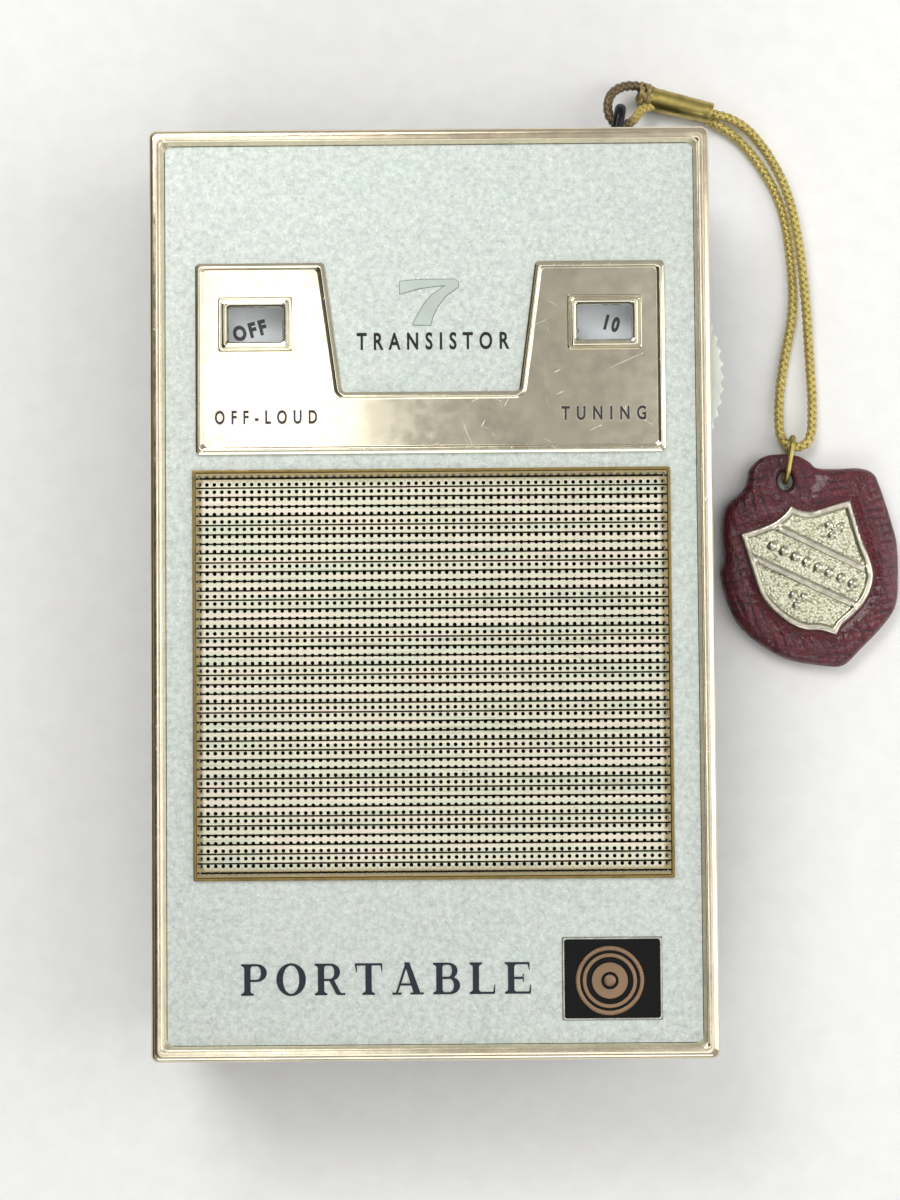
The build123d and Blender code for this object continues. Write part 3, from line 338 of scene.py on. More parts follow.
def woven_cloth(name, colour, pitch):
    """Plain weave in object coordinates: two crossed waves."""
    material, tree, shader = new_finish(name, {"Sheen Weight": 0.2, "Roughness": 0.9})
    waves = [node(tree, "ShaderNodeTexWave", {"Vector": place_on_piece(tree), "Scale": 0.314 / pitch},
                  bands_direction=direction).outputs[1] for direction in ("X", "Y")]
    weave = maths(tree, "MAXIMUM", *waves)
    feed(shader, colour=ramp(tree, weave, (0.2, tinted(colour, 0.4)), (0.9, tinted(colour, 1.3))),
         normal=bump(tree, weave, 0.06 * MM, 0.8))
    return material


def gold_thread(colour, worn_colour):
    """Metallised thread: fine fibres along each strand, darker where the eye has rubbed, with painted shade
    where a strand dips under its neighbour and on the core.
    """
    material, tree, shader = new_finish("gold_thread", {"Metallic": 0.35, "Roughness": 0.42,
                                                        "Sheen Weight": 0.25, "Sheen Roughness": 0.4})
    across = carried(tree, "across")
    along = carried(tree, "along")
    rubbed = carried(tree, "rubbed")
    thread = node(tree, "ShaderNodeCombineXYZ", {0: maths(tree, "MULTIPLY", across, 14.0),
                                                 1: maths(tree, "MULTIPLY", along, 900.0)}).outputs[0]
    fibres = node(tree, "ShaderNodeTexNoise", {"Vector": thread, "Scale": 1.0, "Detail": 2.0}).outputs[0]
    patches = noise_at(tree, place_on_piece(tree), 0.8 * MM, 2.0)
    fresh = ramp(tree, fibres, (0.3, tinted(colour, 0.55)), (0.5, opaque(colour)),
                 (0.7, tinted(colour, 1.35)))
    old = ramp(tree, fibres, (0.3, tinted(worn_colour, 0.45)), (0.6, opaque(worn_colour)),
               (0.8, tinted(worn_colour, 1.6)))
    dirt = maths(tree, "MULTIPLY", patches, 0.25)
    share = maths(tree, "MAXIMUM", rubbed, dirt)
    # painted shade: strands go nearly black where they dip under a neighbour, and so does the core
    under = carried(tree, "under")
    painted_shade = grey_ramp(tree, under, (0.4, 0.0), (0.95, 0.72))
    thread_colour = blend_colours(tree, share, fresh, old)
    feed(shader, colour=blend_colours(tree, painted_shade, thread_colour, tinted(colour, 0.12)),
         normal=bump(tree, fibres, 0.03 * MM, 0.7))
    return material


def old_brass(name, colour, roughness, turn=0.0):
    """Lacquered brass that has toned down, with drawn lines along it and dark handling marks."""
    material, tree, shader = new_finish(name, {"Metallic": 1.0})
    vector = place_on_piece(tree)
    stain = noise_at(tree, vector, 1.7 * MM, 5.0, 0.62)
    feed(shader,
         colour=ramp(tree, stain, (0.28, tinted(colour, 0.7)), (0.5, opaque(colour)),
                     (0.75, tinted(colour, 1.15))))
    drawn = noise_at(tree, place_on_piece(tree, (0.05, 1, 1), turn), 0.08 * MM, 2.0)
    feed(shader, roughness=grey_ramp(tree, stain, (0.3, roughness * 1.5), (0.7, roughness * 0.8)),
         normal=bump(tree, drawn, 0.006 * MM, 0.5))
    return material


def oxblood_leather(colour):
    """Glazed box-grain leather: glossy raised pebbles, dull creases with painted shade in them."""
    material, tree, shader = new_finish("oxblood_leather", {"Coat Weight": 0.45, "Coat Roughness": 0.16,
                                                            "Specular IOR Level": 0.45})
    vector = place_on_piece(tree)
    crease = carried(tree, "crease")
    fine = node(tree, "ShaderNodeTexVoronoi", {"Vector": vector, "Scale": 1 / (0.34 * MM)},
                feature="DISTANCE_TO_EDGE").outputs[0]
    tone = noise_at(tree, vector, 2.2 * MM, 4.0)
    body = ramp(tree, tone, (0.3, tinted(colour, 0.66)), (0.55, opaque(colour)), (0.8, tinted(colour, 1.45)))
    # painted shade: the creases and the edge of the hole are darkened nearly to black
    feed(shader,
         colour=blend_colours(tree, maths(tree, "MULTIPLY", crease, 0.95), body, tinted(colour, 0.1)),
         roughness=grey_ramp(tree, crease, (0.0, 0.3), (0.6, 0.62)))
    pores = bump(tree, grey_ramp(tree, fine, (0.0, 0.0), (0.22, 1.0)), 0.06 * MM, 0.85)
    feed(shader, normal=bump(tree, noise_at(tree, vector, 0.16 * MM, 3.0), 0.03 * MM, 0.6, pores))
    return material


def stippled_gilt(colour):
    """Cast and plated shield: bright on what stands proud, green-gold and granular in the sunk field."""
    material, tree, shader = new_finish("stippled_gilt", {"Metallic": 1.0})
    vector = place_on_piece(tree)
    field = carried(tree, "sunk")
    grains = node(tree, "ShaderNodeTexVoronoi", {"Vector": vector, "Scale": 1 / (0.26 * MM)}).outputs[0]
    raised = ramp(tree, noise_at(tree, vector, 0.9 * MM, 4.0), (0.3, tinted(colour, 0.62)),
                  (0.6, opaque(colour)))
    sunk = ramp(tree, grains, (0.15, display_colour(232, 232, 214)), (0.6, display_colour(192, 191, 164)),
                (0.9, display_colour(132, 130, 104)))
    feed(shader, colour=blend_colours(tree, field, raised, sunk),
         roughness=grey_ramp(tree, field, (0.0, 0.3), (1.0, 0.36)))
    granules = maths(tree, "MULTIPLY", grains, field)
    feed(shader, normal=bump(tree, granules, -0.07 * MM, 0.6))
    return material


def enamel_finish(name, colour):
    """Glossy fired enamel with lighter clouds in its colour and a slow ripple."""
    material, tree, shader = new_finish(name, {"Coat Weight": 0.12, "Coat Roughness": 0.05, "Roughness": 0.3,
                                                 "Specular IOR Level": 0.12})
    vector = place_on_piece(tree)
    feed(shader,
         colour=ramp(tree, noise_at(tree, vector, 3 * MM, 4.0), (0.3, opaque(colour)),
                     (0.8, tinted(colour, 1.8))),
         normal=bump(tree, noise_at(tree, vector, 1.5 * MM, 2.0), 0.03 * MM, 0.25))
    return material


def banded_finish(name, colours, width, axis, values, softness):
    """Bands of colour across a piece: windings, laminations and printed jackets."""
    material, tree, shader = new_finish(name, {"Roughness": 0.45, **values})
    scale = [0.0, 0.0, 0.0]
    scale["XYZ".index(axis)] = 1.0
    position = node(tree, "ShaderNodeSeparateXYZ", {0: place_on_piece(tree, scale)}).outputs[axis]
    phase = maths(tree, "PINGPONG", position, width)
    share = maths(tree, "DIVIDE", phase, width)
    bands = ramp(tree, share, (0.5 - softness, opaque(colours[0])), (0.5 + softness, opaque(colours[1])))
    darkening = noise_at(tree, place_on_piece(tree), 1.1 * MM, 4.0)
    shade = ramp(tree, darkening, (0.3, (0.78, 0.78, 0.78)), (0.6, (1.0, 1.0, 1.0)))
    dirty = node(tree, "ShaderNodeMix", {0: 1.0, 6: bands, 7: shade}, data_type="RGBA",
                 blend_type="MULTIPLY")
    feed(shader, colour=dirty.outputs[2],
         normal=bump(tree, share, 0.03 * MM, 0.6))
    return material


def dull_metal(name, colour, roughness, grain=0.3):
    """Tinned, plated or blackened metal with a mottled skin."""
    material, tree, shader = new_finish(name, {"Metallic": 1.0})
    vector = place_on_piece(tree)
    mottle = noise_at(tree, vector, 0.9 * MM, 5.0, 0.6)
    feed(shader, colour=ramp(tree, mottle, (0.3, tinted(colour, 0.6)), (0.6, opaque(colour))),
         roughness=grey_ramp(tree, mottle, (0.3, roughness * 1.3), (0.7, roughness * 0.8)),
         normal=bump(tree, noise_at(tree, vector, grain * MM, 3.0), 0.01 * MM, 0.6))
    return material


# ------------------------------------------------------------------ meshes

def add_mesh_piece(name, mesh, material, crease_angle=32.0):
    """Puts a finished mesh in the scene as a smooth-shaded piece with sharp creases."""
    mesh.name = name
    mesh.materials.clear()
    mesh.materials.append(material)
    mesh.shade_smooth()
    mesh.set_sharp_from_angle(angle=math.radians(crease_angle))
    piece = bpy.data.objects.new(name, mesh)
    bpy.context.scene.collection.objects.link(piece)
    return piece


def close_up(builder):
    """A mesh from a bmesh whose faces all point outwards."""
    bmesh.ops.remove_doubles(builder, verts=builder.verts, dist=1e-7)
    bmesh.ops.recalc_face_normals(builder, faces=builder.faces)
    mesh = bpy.data.meshes.new("piece")
    builder.to_mesh(mesh)
    builder.free()
    return mesh


def evaluated_mesh(thing):
    """The plain mesh of an object with its modifiers and curve settings applied."""
    graph = bpy.context.evaluated_depsgraph_get()
    return bpy.data.meshes.new_from_object(thing.evaluated_get(graph))


def settle(piece, body, slot, *replaced):
    """Ties a piece to its body and hides the frame nodes that it stands for. The slot argument is not used.
    """
    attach(piece, body)
    if replaced:
        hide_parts(*replaced)
    return piece


def dress(material, *names):
    """Gives frame nodes a better finish."""
    for name in names:
        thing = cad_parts[name]
        if not thing.material_slots:
            thing.data.materials.append(material)
        for slot in thing.material_slots:
            slot.material = material


def in_metres(rows):
    """Rows of lengths given in millimetres."""
    return [tuple(length * MM for length in row) for row in rows]


def middle_of(low, high):
    """Middle of a box, seen from above."""
    return (low.x + high.x) / 2, (low.y + high.y) / 2


def hoop(middle, first, second, count):
    """Points round an ellipse about a middle, from its two half axes."""
    turns = (2 * math.pi * step / count for step in range(count))
    return [middle + first * math.cos(turn) + second * math.sin(turn) for turn in turns]


def neighbours(points):
    """Each point with the one before it and the one after it, round a closed outline."""
    return zip(points[-1:] + points[:-1], points, points[1:] + points[:1])


def inset_corners(corners, inset):
    """Corners of a counter-clockwise polygon, moved inwards along their mitres."""
    moved = []
    for before, here, after in neighbours([Vector(corner) for corner in corners]):
        side_in = (here - before).normalized().orthogonal()
        side_out = (after - here).normalized().orthogonal()
        moved.append(here + (side_in + side_out) * inset / (1 + side_in.dot(side_out)))
    return moved


def rounded(corners, inset, radius, steps=6):
    """Outline of the inset polygon with every corner turned into an arc."""
    points = []
    for before, here, after in neighbours(inset_corners(corners, inset)):
        run_in = (here - before).normalized()
        run_out = (after - here).normalized()
        turn = math.atan2(run_in.cross(run_out), run_in.dot(run_out))
        bend = radius if turn > 0 else radius + inset
        start = here - run_in * bend * math.tan(abs(turn) / 2)
        middle = start + run_in.orthogonal() * math.copysign(bend, turn)
        for step in range(steps + 1):
            points.append(middle + Matrix.Rotation(turn * step / steps, 2) @ (start - middle))
    return points


def rectangle(middle, width, height):
    x, y = middle
    return [(x - width / 2, y - height / 2), (x + width / 2, y - height / 2),
            (x + width / 2, y + height / 2), (x - width / 2, y + height / 2)]


def lay_loop(builder, points, height):
    return [builder.verts.new((point[0], point[1], height)) for point in points]


def bridge(builder, first, second):
    count = len(first)
    for index in range(count):
        following = (index + 1) % count
        builder.faces.new((first[index], first[following], second[following], second[index]))


def mould(builder, corners, rows, closed=False, steps=6):
    """Runs a section round a polygon. Each row is (inset, height, corner radius). Returns its loops."""
    loops = [lay_loop(builder, rounded(corners, inset, radius, steps), height) for inset, height,
             radius in rows]
    for first, second in zip(loops, loops[1:]):
        bridge(builder, first, second)
    if closed:
        bridge(builder, loops[-1], loops[0])
    return loops


def fill_between(builder, *loops):
    """Flat triangles inside the first loop and outside the others."""
    edges = []
    for loop in loops:
        for first, second in zip(loop, loop[1:] + loop[:1]):
            edges.append(builder.edges.get((first, second)) or builder.edges.new((first, second)))
    bmesh.ops.triangle_fill(builder, use_beauty=True, edges=edges)


def tube(builder, sections, closed=False):
    """Skin over one ring of points at each place along a path, with its ends shut or joined."""
    rings = [[builder.verts.new(point) for point in section] for section in sections]
    for first, second in zip(rings, rings[1:]):
        bridge(builder, first, second)
    if closed:
        bridge(builder, rings[-1], rings[0])
    else:
        builder.faces.new(rings[0][::-1])
        builder.faces.new(rings[-1])


def spans(points, corner_numbers=(), steps=5):
    """Closed curve through the points that stays sharp at the numbered corners."""
    knots = [Vector(point) for point in points]
    count = len(knots)
    curve = []
    for index in range(count):
        here, after = knots[index], knots[(index + 1) % count]
        before = 2 * here - after if index in corner_numbers else knots[index - 1]
        beyond = 2 * after - here if (index + 1) % count in corner_numbers else knots[(index + 2) % count]
        for step in range(steps):
            t = step / steps
            curve.append(0.5 * (2 * here + (after - before) * t
                                + (2 * before - 5 * here + 4 * after - beyond) * t ** 2
                                + (3 * here - before - 3 * after + beyond) * t ** 3))
    return curve


def distance_to_outline(places, outline):
    """Distance of each place from a closed outline, and whether it is inside it."""
    ends = np.array([tuple(point) for point in outline])
    starts = ends
    finishes = np.roll(ends, -1, axis=0)
    runs = finishes - starts
    offsets = places[:, None, :] - starts[None]
    share = np.clip((offsets * runs).sum(2) / (runs ** 2).sum(1), 0, 1)
    gaps = np.linalg.norm(offsets - share[..., None] * runs, axis=2).min(1)
    above = (starts[:, 1] > places[:, None, 1]) != (finishes[:, 1] > places[:, None, 1])
    slope = np.where(runs[:, 1] == 0, 1e-12, runs[:, 1])
    crossing = starts[:, 0] + (places[:, None, 1] - starts[:, 1]) / slope * runs[:, 0]
    inside = (above & (places[:, None, 0] < crossing)).sum(1) % 2 == 1
    return gaps, inside


def relief(outline, holes, spacing, edge_rows, top, bottom):
    """Closed solid over an outline with holes, on a fine net of points. top and bottom give the heights
    of an array of places. edge_rows are the distances from the outline where the net follows it."""
    rims = [list(outline), *[list(hole) for hole in holes]]
    points = [Vector(point[:2]) for rim in rims for point in rim]
    starts = np.cumsum([0] + [len(rim) for rim in rims])
    regions = [list(range(starts[i], starts[i + 1])) for i in range(len(rims))]
    low = np.array([tuple(point) for point in outline]).min(0)
    high = np.array([tuple(point) for point in outline]).max(0)
    across = np.arange(low[0], high[0], spacing)
    upward = np.arange(low[1], high[1], spacing * 0.87)
    net = np.array([(x + spacing / 2 * (row % 2), y) for row, y in enumerate(upward) for x in across])
    extra = [net]
    for row in edge_rows:
        for rim, sign in zip(rims, [1] + [-1] * len(holes)):
            extra.append(np.array([tuple(point) for point in inset_corners(rim, row * sign)]))
    clearances = [0.55 * edge_rows[0] if edge_rows else 0.5 * spacing] * len(extra)
    clearances[0] = (edge_rows[-1] if edge_rows else 0.0) + 0.5 * spacing
    for places, clearance in zip(extra, clearances):
        gap, keep = distance_to_outline(places, outline)
        for hole in holes:
            hole_gap, inside = distance_to_outline(places, hole)
            gap = np.minimum(gap, hole_gap)
            keep &= ~inside
        points += [Vector(place) for place in places[keep & (gap > clearance * 0.99)]]
    verts, _, faces, origins, _, owners = delaunay_2d_cdt(points, [], regions, 1, 1e-7)
    kept = [face for face, owner in zip(faces, owners) if owner == [0]]
    places = np.array([tuple(vert) for vert in verts])
    builder = bmesh.new()
    layers = [[builder.verts.new((x, y, z)) for (x, y), z in zip(places, heights)]
              for heights in (top(places), bottom(places))]
    for face in kept:
        builder.faces.new([layers[0][i] for i in face])
        builder.faces.new([layers[1][i] for i in reversed(face)])
    lookup = {origin: index for index, group in enumerate(origins) for origin in group}
    for region in regions:
        for first, second in zip(region, region[1:] + region[:1]):
            a, b = lookup[first], lookup[second]
            if a != b:
                builder.faces.new((layers[0][a], layers[0][b], layers[1][b], layers[1][a]))
    loose = [vert for vert in builder.verts if not vert.link_faces]
    bmesh.ops.delete(builder, geom=loose, context="VERTS")
    return close_up(builder)


def lettering(name, text, middle, width, height, base, thickness, material, boldness=0.0, spacing=1.0,
              turn=0.0, pivot=None):
    """Raised letters of a given overall width and height, lying on a flat face."""
    curve = bpy.data.curves.new(name, "FONT")
    curve.body = text
    curve.size = 1.0
    curve.extrude = 0.5
    curve.offset = boldness
    curve.space_character = spacing
    curve.resolution_u = 4
    holder = bpy.data.objects.new(name, curve)
    bpy.context.scene.collection.objects.link(holder)
    mesh = evaluated_mesh(holder)
    bpy.data.objects.remove(holder)
    corners = np.array([vert.co[:] for vert in mesh.vertices])
    low, high = corners.min(0), corners.max(0)
    centre = Vector((low + high) / 2)
    stretch = Matrix.Diagonal((width / (high[0] - low[0]), height / (high[1] - low[1]), thickness, 1))
    mesh.transform(stretch @ Matrix.Translation(-centre))
    place = Vector((*middle, base + thickness / 2))
    if pivot is None:
        mesh.transform(Matrix.Translation(place) @ Matrix.Rotation(turn, 4, "Z"))
    else:
        hub = Vector((*pivot, 0))
        mesh.transform(Matrix.Translation(hub) @ Matrix.Rotation(turn, 4,
                                                                 "Z") @ Matrix.Translation(place - hub))
    return add_mesh_piece(name, mesh, material, 30.0)


def flat_shapes(polygons, base, thickness):
    """One raised solid that covers any of the overlapping polygons."""
    points = [Vector(point) for polygon in polygons for point in polygon]
    starts = np.cumsum([0] + [len(polygon) for polygon in polygons])
    regions = [list(range(starts[i], starts[i + 1])) for i in range(len(polygons))]
    verts, _, faces, _, _, owners = delaunay_2d_cdt(points, [], regions, 0, 1e-8)
    builder = bmesh.new()
    made = [builder.verts.new((vert.x, vert.y, base)) for vert in verts]
    flat = [builder.faces.new([made[i] for i in face]) for face, owner in zip(faces, owners) if owner]
    bmesh.ops.delete(builder, geom=[vert for vert in made if not vert.link_faces], context="VERTS")
    lifted = bmesh.ops.extrude_face_region(builder, geom=flat, use_keep_orig=True)
    moved = [item for item in lifted["geom"] if isinstance(item, bmesh.types.BMVert)]
    bmesh.ops.translate(builder, verts=moved, vec=(0, 0, thickness))
    return close_up(builder)


# ------------------------------------------------------------------ cord

def path_points(route, resolution=20):
    """Points read from the smooth line of a route, closely spaced."""
    curve = bpy.data.curves.new("route", "CURVE")
    curve.dimensions = "3D"
    spline = curve.splines.new("NURBS")
    spline.points.add(len(route) - 1)
    for point, place in zip(spline.points, route):
        point.co = (*place, 1.0)
    spline.order_u = 3
    spline.use_endpoint_u = True
    spline.resolution_u = resolution
    holder = bpy.data.objects.new("route", curve)
    bpy.context.scene.collection.objects.link(holder)
    mesh = evaluated_mesh(holder)
    bpy.data.objects.remove(holder)
    return [vert.co.copy() for vert in mesh.vertices]


def even_steps(points, step):
    """The same line with points at equal distances."""
    lengths = np.cumsum([0.0] + [(b - a).length for a, b in zip(points, points[1:])])
    count = max(2, round(lengths[-1] / step) + 1)
    wanted = np.linspace(0.0, lengths[-1], count)
    sampled = np.stack([np.interp(wanted, lengths, [point[axis] for point in points]) for axis in range(3)],
                       1)
    return [Vector(row) for row in sampled], wanted


def steady_frames(points):
    """Direction, side and up at each point, without twist."""
    frames = []
    side = Vector((0, 0, 1)).cross(points[1] - points[0]).normalized()
    for index in range(len(points)):
        ahead = points[min(index + 1, len(points) - 1)] - points[max(index - 1, 0)]
        direction = ahead.normalized()
        side = (side - direction * side.dot(direction)).normalized()
        frames.append((direction, side, direction.cross(side)))
    return frames


def flat_strand(builder, line, outward, width, thickness, corners=6, closed=False):
    """One flattened strand along a line. outward says which way its flat side faces at each point."""
    sections = []
    count = len(line)
    for index, (point, out) in enumerate(zip(line, outward)):
        after = line[(index + 1) % count] if closed else line[min(index + 1, count - 1)]
        before = line[index - 1] if closed else line[max(index - 1, 0)]
        direction = (after - before).normalized()
        flat = direction.cross(out).normalized()
        proud = flat.cross(direction)
        sections.append([point + flat * math.cos(angle) * width / 2 - proud * math.sin(angle) * thickness / 2
                         for angle in (2 * math.pi * (corner + 0.5) / corners for corner in range(corners))])
    tube(builder, sections, closed)


def squeeze(point):
    """Share of its free thickness that the cord keeps at a point: less where the ferrule grips it."""
    left, right = FERRULE_ENDS
    axis = (right - left).normalized()
    along = (point - left).dot(axis)
    away = (point - left - axis * along).length
    gripped = min(along, (right - left).length - along) / (0.9 * MM)
    grip = min(1.0, max(0.0, gripped)) if away < 2.2 * MM else 0.0
    return 1 - 0.4 * grip * grip * (3 - 2 * grip)


def mark_vertices(mesh, name, values):
    attribute = mesh.attributes.new(name, "FLOAT", "POINT")
    attribute.data.foreach_set("value", np.asarray(values, np.float32))


# ------------------------------------------------------------------ stage

def stand_camera(scene):
    """A long lens that looks down on the set, a little from its lower edge."""
    camera = bpy.data.cameras.new("camera")
    camera.lens = 83.4
    camera.sensor_width = 36.0
    camera.clip_start = 0.01
    camera.clip_end = 20.0
    holder = bpy.data.objects.new("camera", camera)
    scene.collection.objects.link(holder)
    tilt, lean, roll = (math.radians(angle) for angle in (2.894, 0.109, -0.469))
    turn = Matrix.Rotation(tilt, 4, "X") @ Matrix.Rotation(lean, 4, "Y") @ Matrix.Rotation(roll, 4, "Z")
    holder.matrix_world = Matrix.Translation((0.00268, -0.01725, 0.34513)) @ turn
    scene.camera = holder


def lay_sheet(name, corners, level, paint, mottle, detail):
    """A flat sheet of matt card, shaded between a darker and a lighter paint."""
    mesh = bpy.data.meshes.new(name)
    mesh.from_pydata([(x, y, level) for x, y in corners], [], [(0, 1, 2, 3)])
    board, tree, shader = new_finish(name + "_paper", {"Roughness": 0.9})
    fibre = noise_at(tree, place_on_piece(tree), mottle, detail)
    feed(shader, colour=ramp(tree, fibre, (0.3, paint[0]), (0.7, paint[1])))
    add_mesh_piece(name, mesh, board)


def hang_light(scene, name, place, aim, width, height, power):
    """A soft rectangular lamp; its power is in watts."""
    light = bpy.data.lights.new(name, "AREA")
    light.shape = "RECTANGLE"
    light.size = width
    light.size_y = height
    light.energy = power
    lamp = bpy.data.objects.new(name, light)
    scene.collection.objects.link(lamp)
    lamp.location = place
    lamp.rotation_mode = "QUATERNION"
    lamp.rotation_quaternion = (Vector(aim) - Vector(place)).to_track_quat("-Z", "Y")


def light_room(scene):
    """Even light from a pale room that is dark to the left, in front of a pale backdrop."""
    world = bpy.data.worlds.new("studio")
    world.use_nodes = True
    tree = world.node_tree
    sky = tree.nodes["Background"]
    heading = node(tree, "ShaderNodeSeparateXYZ", {0: node(tree, "ShaderNodeTexCoord").outputs["Generated"]})
    from_left = maths(tree, "MULTIPLY_ADD", heading.outputs["X"], 0.5)
    from_left.node.inputs[2].default_value = 0.5
    pale = (0.80, 0.79, 0.77, 1.0)
    room = ramp(tree, from_left, (0.08, (0.16, 0.14, 0.11)), (0.2, pale))
    backdrop = node(tree, "ShaderNodeLightPath").outputs["Is Camera Ray"]
    tree.links.new(blend_colours(tree, backdrop, room, pale), sky.inputs["Color"])
    sky.inputs["Strength"].default_value = 0.58
    scene.world = world


class RADIO_OT_stage(bpy.types.Operator):
    """Lay out the camera, the soft lights and the plain pale floor"""
    bl_idname = "radio.stage"
    bl_label = "Stage"

    def execute(self, context):
        scene = context.scene
        stand_camera(scene)
        half = 3.0
        lay_sheet("floor", [(-half, -half), (half, -half), (half, half), (-half, half)], -0.02 * MM,
                  ((0.86, 0.86, 0.85), (0.9, 0.9, 0.89)), 3 * MM, 4.0)

        # name, west, east, south, north, paint: dark and tan cards that the left and top rails mirror
        for name, west, east, south, north, paint in (
                ("dark_card", -0.50, -0.0925, -0.26, 0.20, (0.07, 0.06, 0.045)),
                ("tan_card", -0.08, 0.085, 0.175, 0.32, (0.42, 0.37, 0.27))):
            corners = [(west, south), (west, north), (east, north), (east, south)]
            lay_sheet(name, corners, 0.635, (tinted(paint, 0.9), tinted(paint, 1.1)), 20 * MM, 3.0)

        # name, place, aim, width, height, power
        for light in (
                ("window", (-0.24, 0.42, 0.78), (-0.02, 0.02, 0.02), 0.46, 0.46, 4.3),
                ("dial_glare", (-0.058, 0.035, 0.625), (-0.058, 0.035, 0.0), 0.062, 0.25, 0.095),
                ("right_rail_glare", (0.125, 0.03, 0.625), (0.125, 0.03, 0.0), 0.07, 0.36, 0.085),
                ("lower_rail_glare", (0.0, -0.165, 0.625), (0.0, -0.165, 0.0), 0.26, 0.085, 0.12),
                ("right_card", (0.46, 0.0, 0.30), (0.02, 0.0, 0.02), 0.30, 0.8, 1.5),
                ("front_card", (-0.05, -0.80, 0.62), (0.0, 0.0, 0.02), 0.8, 0.4, 2.2)):
            hang_light(scene, *light)
        light_room(scene)
        scene.view_settings.view_transform = "Standard"
        return {"FINISHED"}


# ------------------------------------------------------------------ strap and fob

def marked_mesh(builder, name, marks):
    """A mesh that carries the named values at its vertices, in the order in which they were made."""
    mesh = bpy.data.meshes.new(name)
    bmesh.ops.recalc_face_normals(builder, faces=builder.faces)
    builder.to_mesh(mesh)
    builder.free()
    for mark, values in marks.items():
        mark_vertices(mesh, mark, values)
    return mesh


def knot_line():
    """The thread bound round the cord where the eye meets the ferrule: four turns that weave to and fro."""
    start = Vector((27.2, 62.75, 2.15)) * MM
    axis = Vector((-0.96, 0.18, 0.12)).normalized()
    side = Vector((0, 0, 1)).cross(axis).normalized()
    up = axis.cross(side)
    line = []
    outward = []
    points, turns, crossings, passes = 150, 4, 15, 5
    for step in range(points):
        t = 2 * math.pi * step / points
        out = side * math.cos(turns * t) * 1.12 + up * math.sin(turns * t)
        lift = (1.13 + 0.2 * math.cos(crossings * t)) * MM
        sweep = (0.62 * math.sin(passes * t) + 0.5) * MM
        line.append(start + axis * sweep + out * lift)
        outward.append(out.normalized())
    return line, outward


def strap_line(sizes):
    """Points along the cord, close enough together for its braid, and how far along each one is."""
    samples_per_turn = 14
    return even_steps(path_points(STRAP_ROUTE), sizes.braid_turn / samples_per_turn)


class RADIO_OT_strap(bpy.types.Operator):
    """Braid the gold cord along its route and whip it at the ferrule"""
    bl_idname = "radio.strap"
    bl_label = "Braided strap"

    def execute(self, context):
        sizes = context.scene.radio_strap
        colours = context.scene.radio_colours
        thread = gold_thread(colours.braid, colours.worn_braid)
        points, along = strap_line(sizes)
        frames = steady_frames(points)
        grips = [squeeze(point) for point in points]
        weave = 0.095 * MM
        middle_radius = sizes.cord_diameter / 2 - sizes.strand_thickness / 2 - weave
        each_way = sizes.strands_each_way
        eye_length = 15.5 * MM
        builder = bmesh.new()
        marks = {"across": [], "along": [], "rubbed": [], "under": []}
        corners = 6
        for direction in (1, -1):
            for strand in range(each_way):
                line = []
                outward = []
                depths = []
                for point, distance, grip, (_, side, up) in zip(points, along, grips, frames):
                    phase = 2 * math.pi * distance / sizes.braid_turn
                    angle = direction * phase + 2 * math.pi * strand / each_way
                    out = side * math.cos(angle) + up * math.sin(angle)
                    over = direction * math.cos(each_way * phase) * weave
                    line.append(point + out * (middle_radius + over) * grip)
                    outward.append(out)
                    # how far the strand dips under its neighbour: this drives painted shade in the thread's
                    # finish
                    depths.append(0.5 - over / weave / 2)
                flat_strand(builder, line, outward, sizes.strand_width, sizes.strand_thickness, corners)
                for distance, depth in zip(along, depths):
                    rubbed = min(1.0, max(0.0, (eye_length - distance) / (2.0 * MM)))
                    marks["across"] += [corner / corners + 3.1 * strand for corner in range(corners)]
                    marks["along"] += [distance] * corners
                    marks["rubbed"] += [rubbed] * corners
                    marks["under"] += [depth] * corners
        # the core that the strands are braided round, painted in shade all along its length
        core_radius = 0.42 * MM
        tube(builder, [hoop(point, side * core_radius * grip, up * core_radius * grip, corners)
                       for point, grip, (_, side, up) in zip(points[::3], grips[::3], frames[::3])])
        for distance in along[::3]:
            for name, value in (("across", 0.5), ("along", distance), ("rubbed", 1.0), ("under", 1.0)):
                marks[name] += [value] * corners
        braid = add_mesh_piece("strap_braid", marked_mesh(builder, "strap_braid", marks), thread, 60.0)
        settle(braid, "back", "gold_braid", "strap_cord")

        line, outward = knot_line()
        thread_step = 0.2 * MM
        builder = bmesh.new()
        flat_strand(builder, line, outward, 0.52 * MM, 0.4 * MM, corners, closed=True)
        count = len(line) * corners
        marks = {"across": [corner / corners for _ in line for corner in range(corners)],
                 "along": [step * thread_step for step in range(len(line)) for _ in range(corners)],
                 "rubbed": [0.72] * count, "under": [0.1] * count}
        knot = add_mesh_piece("strap_knot", marked_mesh(builder, "strap_knot", marks), thread, 60.0)
        settle(knot, "back", "gold_braid")
        return {"FINISHED"}


